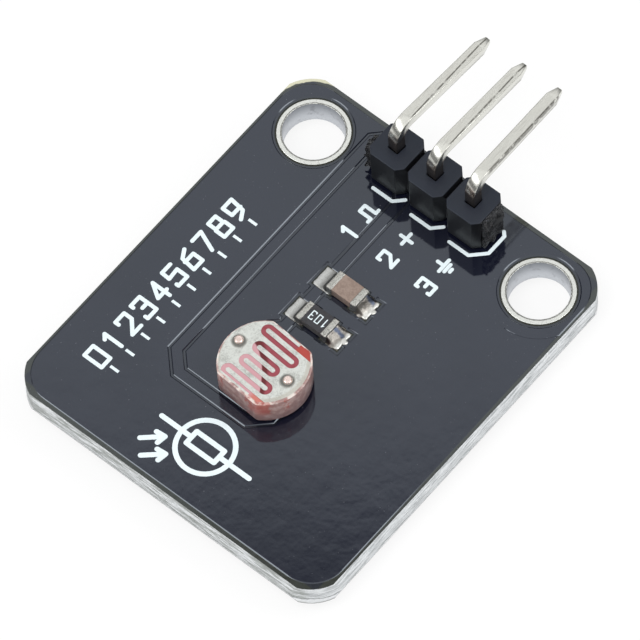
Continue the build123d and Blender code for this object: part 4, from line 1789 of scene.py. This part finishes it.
@dataclass
class Studio:
    """Floor, soft lights, pale surroundings and the camera."""

    floor_size: float = 900.0
    camera_place: tuple[float, float, float] = (-202.96, -185.39, 492.68)
    right: tuple[float, float, float] = (0.63998, -0.76753, -0.03633)
    down: tuple[float, float, float] = (-0.68524, -0.54869, -0.47894)
    forward: tuple[float, float, float] = (0.34767, 0.33141, -0.87710)
    lens: float = 616.17
    film: float = 36.0
    floor_glow: float = 0.85
    soft_level: float = 0.55
    window: tuple[Point, Point] = ((0.3, 0.4), (0.8, 0.68))
    window_top: Point = (0.82, 0.72)
    window_gain: float = 3.4
    horizon: float = 0.18
    horizon_top: Point = (0.42, 0.62)
    band: tuple[Point, Point] = ((0.015, 0.0228), (0.075, 0.045))
    band_depth: float = 0.95

    def build(self) -> None:
        """Builds the studio."""
        self.make_floor()
        self.make_world()
        self.make_lights()
        self.make_camera()
        bpy.context.scene.view_settings.view_transform = "Standard"

    def make_floor(self) -> None:
        """Pale floor under the lowest point of the object."""
        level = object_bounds()[0].z / MM
        half = self.floor_size / 2
        shape = Shape()
        corners = ((-half, -half), (half, -half), (half, half), (-half, half))
        shape.form.faces.new([shape.form.verts.new(Vector((x, y, level)) * MM) for x, y in corners])
        floor = bpy.data.objects.new("floor", shape.mesh("floor"))
        paint = Paint("floor_paper")
        paint.surface(Base_Color=(0.85, 0.85, 0.85), Roughness=0.9)
        seen = paint.node("ShaderNodeLightPath", out="Is Camera Ray")
        mirrored = paint.node("ShaderNodeLightPath", out="Is Glossy Ray")
        lit = paint.node("ShaderNodeEmission", None, (1.0, 1.0, 1.0), 1.0)
        share = (seen + mirrored).least(1.0) * self.floor_glow
        blend = paint.node("ShaderNodeMixShader", None, share, Wire(paint, paint.shader.outputs[0]), lit)
        output = paint.tree.nodes["Material Output"]
        paint.feed(output.inputs["Surface"], blend)
        floor.data.materials.append(paint.material)
        bpy.context.scene.collection.objects.link(floor)
        floor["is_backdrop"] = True

    def make_world(self) -> None:
        """White surroundings for camera rays, a bright window and a dark horizon in the mirrors."""
        world = bpy.data.worlds.new("tent")
        world.use_nodes = True
        bpy.context.scene.world = world
        sky = Graph(world.node_tree)
        back = sky.tree.nodes["Background"]
        back.inputs["Color"].default_value = (1.0, 1.0, 1.0, 1.0)
        towards = sky.node("ShaderNodeTexCoord", out="Generated")
        towards_viewer = (self.down[0], self.down[1], -self.down[2])
        slant = sky.vector("DOT_PRODUCT", towards, towards_viewer, out="Value")
        band, window = (slant.step(*start) * slant.step(*end) for start, end in (self.band, self.window))
        height = sky.part(towards, "Z")
        window = window * height.step(*self.window_top)
        high = height.step(*self.horizon_top)
        bright = high * (1 + self.window_gain * window) + (1 - high) * self.horizon
        mirror = (1 - self.band_depth * band) * bright
        seen = sky.node("ShaderNodeLightPath", out="Is Camera Ray")
        glossy = sky.node("ShaderNodeLightPath", out="Is Glossy Ray")
        other = (1 - seen) * (1 - glossy) * self.soft_level
        sky.feed(back.inputs["Strength"], seen + glossy * mirror + other)

    def make_lights(self) -> None:
        """Two broad soft lamps."""
        for name, place, size, power in (
            ("key", (-160.0, -60.0, 360.0), 220.0, 1.1),
            ("fill", (180.0, -220.0, 300.0), 240.0, 0.5),
        ):
            lamp = bpy.data.lights.new(name, "AREA")
            lamp.shape = "DISK"
            lamp.size = size * MM
            lamp.energy = power
            body = bpy.data.objects.new(name, lamp)
            body.location = Vector(place) * MM
            body.rotation_mode = "QUATERNION"
            body.rotation_quaternion = Vector(place).to_track_quat("Z", "Y")
            body.visible_glossy = False
            bpy.context.scene.collection.objects.link(body)

    def make_camera(self) -> None:
        """Camera at the photograph's place and angle."""
        lens = bpy.data.cameras.new("camera")
        lens.sensor_width = self.film
        lens.lens = self.lens
        lens.clip_start = 0.05
        lens.clip_end = 10.0
        camera = bpy.data.objects.new("camera", lens)
        axes = Matrix((self.right, [-part for part in self.down], [-part for part in self.forward]))
        camera.matrix_world = Matrix.Translation(Vector(self.camera_place) * MM) @ axes.transposed().to_4x4()
        bpy.context.scene.collection.objects.link(camera)
        bpy.context.scene.camera = camera


def main() -> None:
    """Builds the sub-assemblies in order."""
    logging.basicConfig(level=logging.INFO, format="%(name)s %(message)s")
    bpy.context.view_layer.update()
    for assembly in (Board(), Print(), Header(), Photoresistor(), Chips(), Studio()):
        log.info("building %s", type(assembly).__name__)
        assembly.build()


if __name__ == "__main__":
    main()
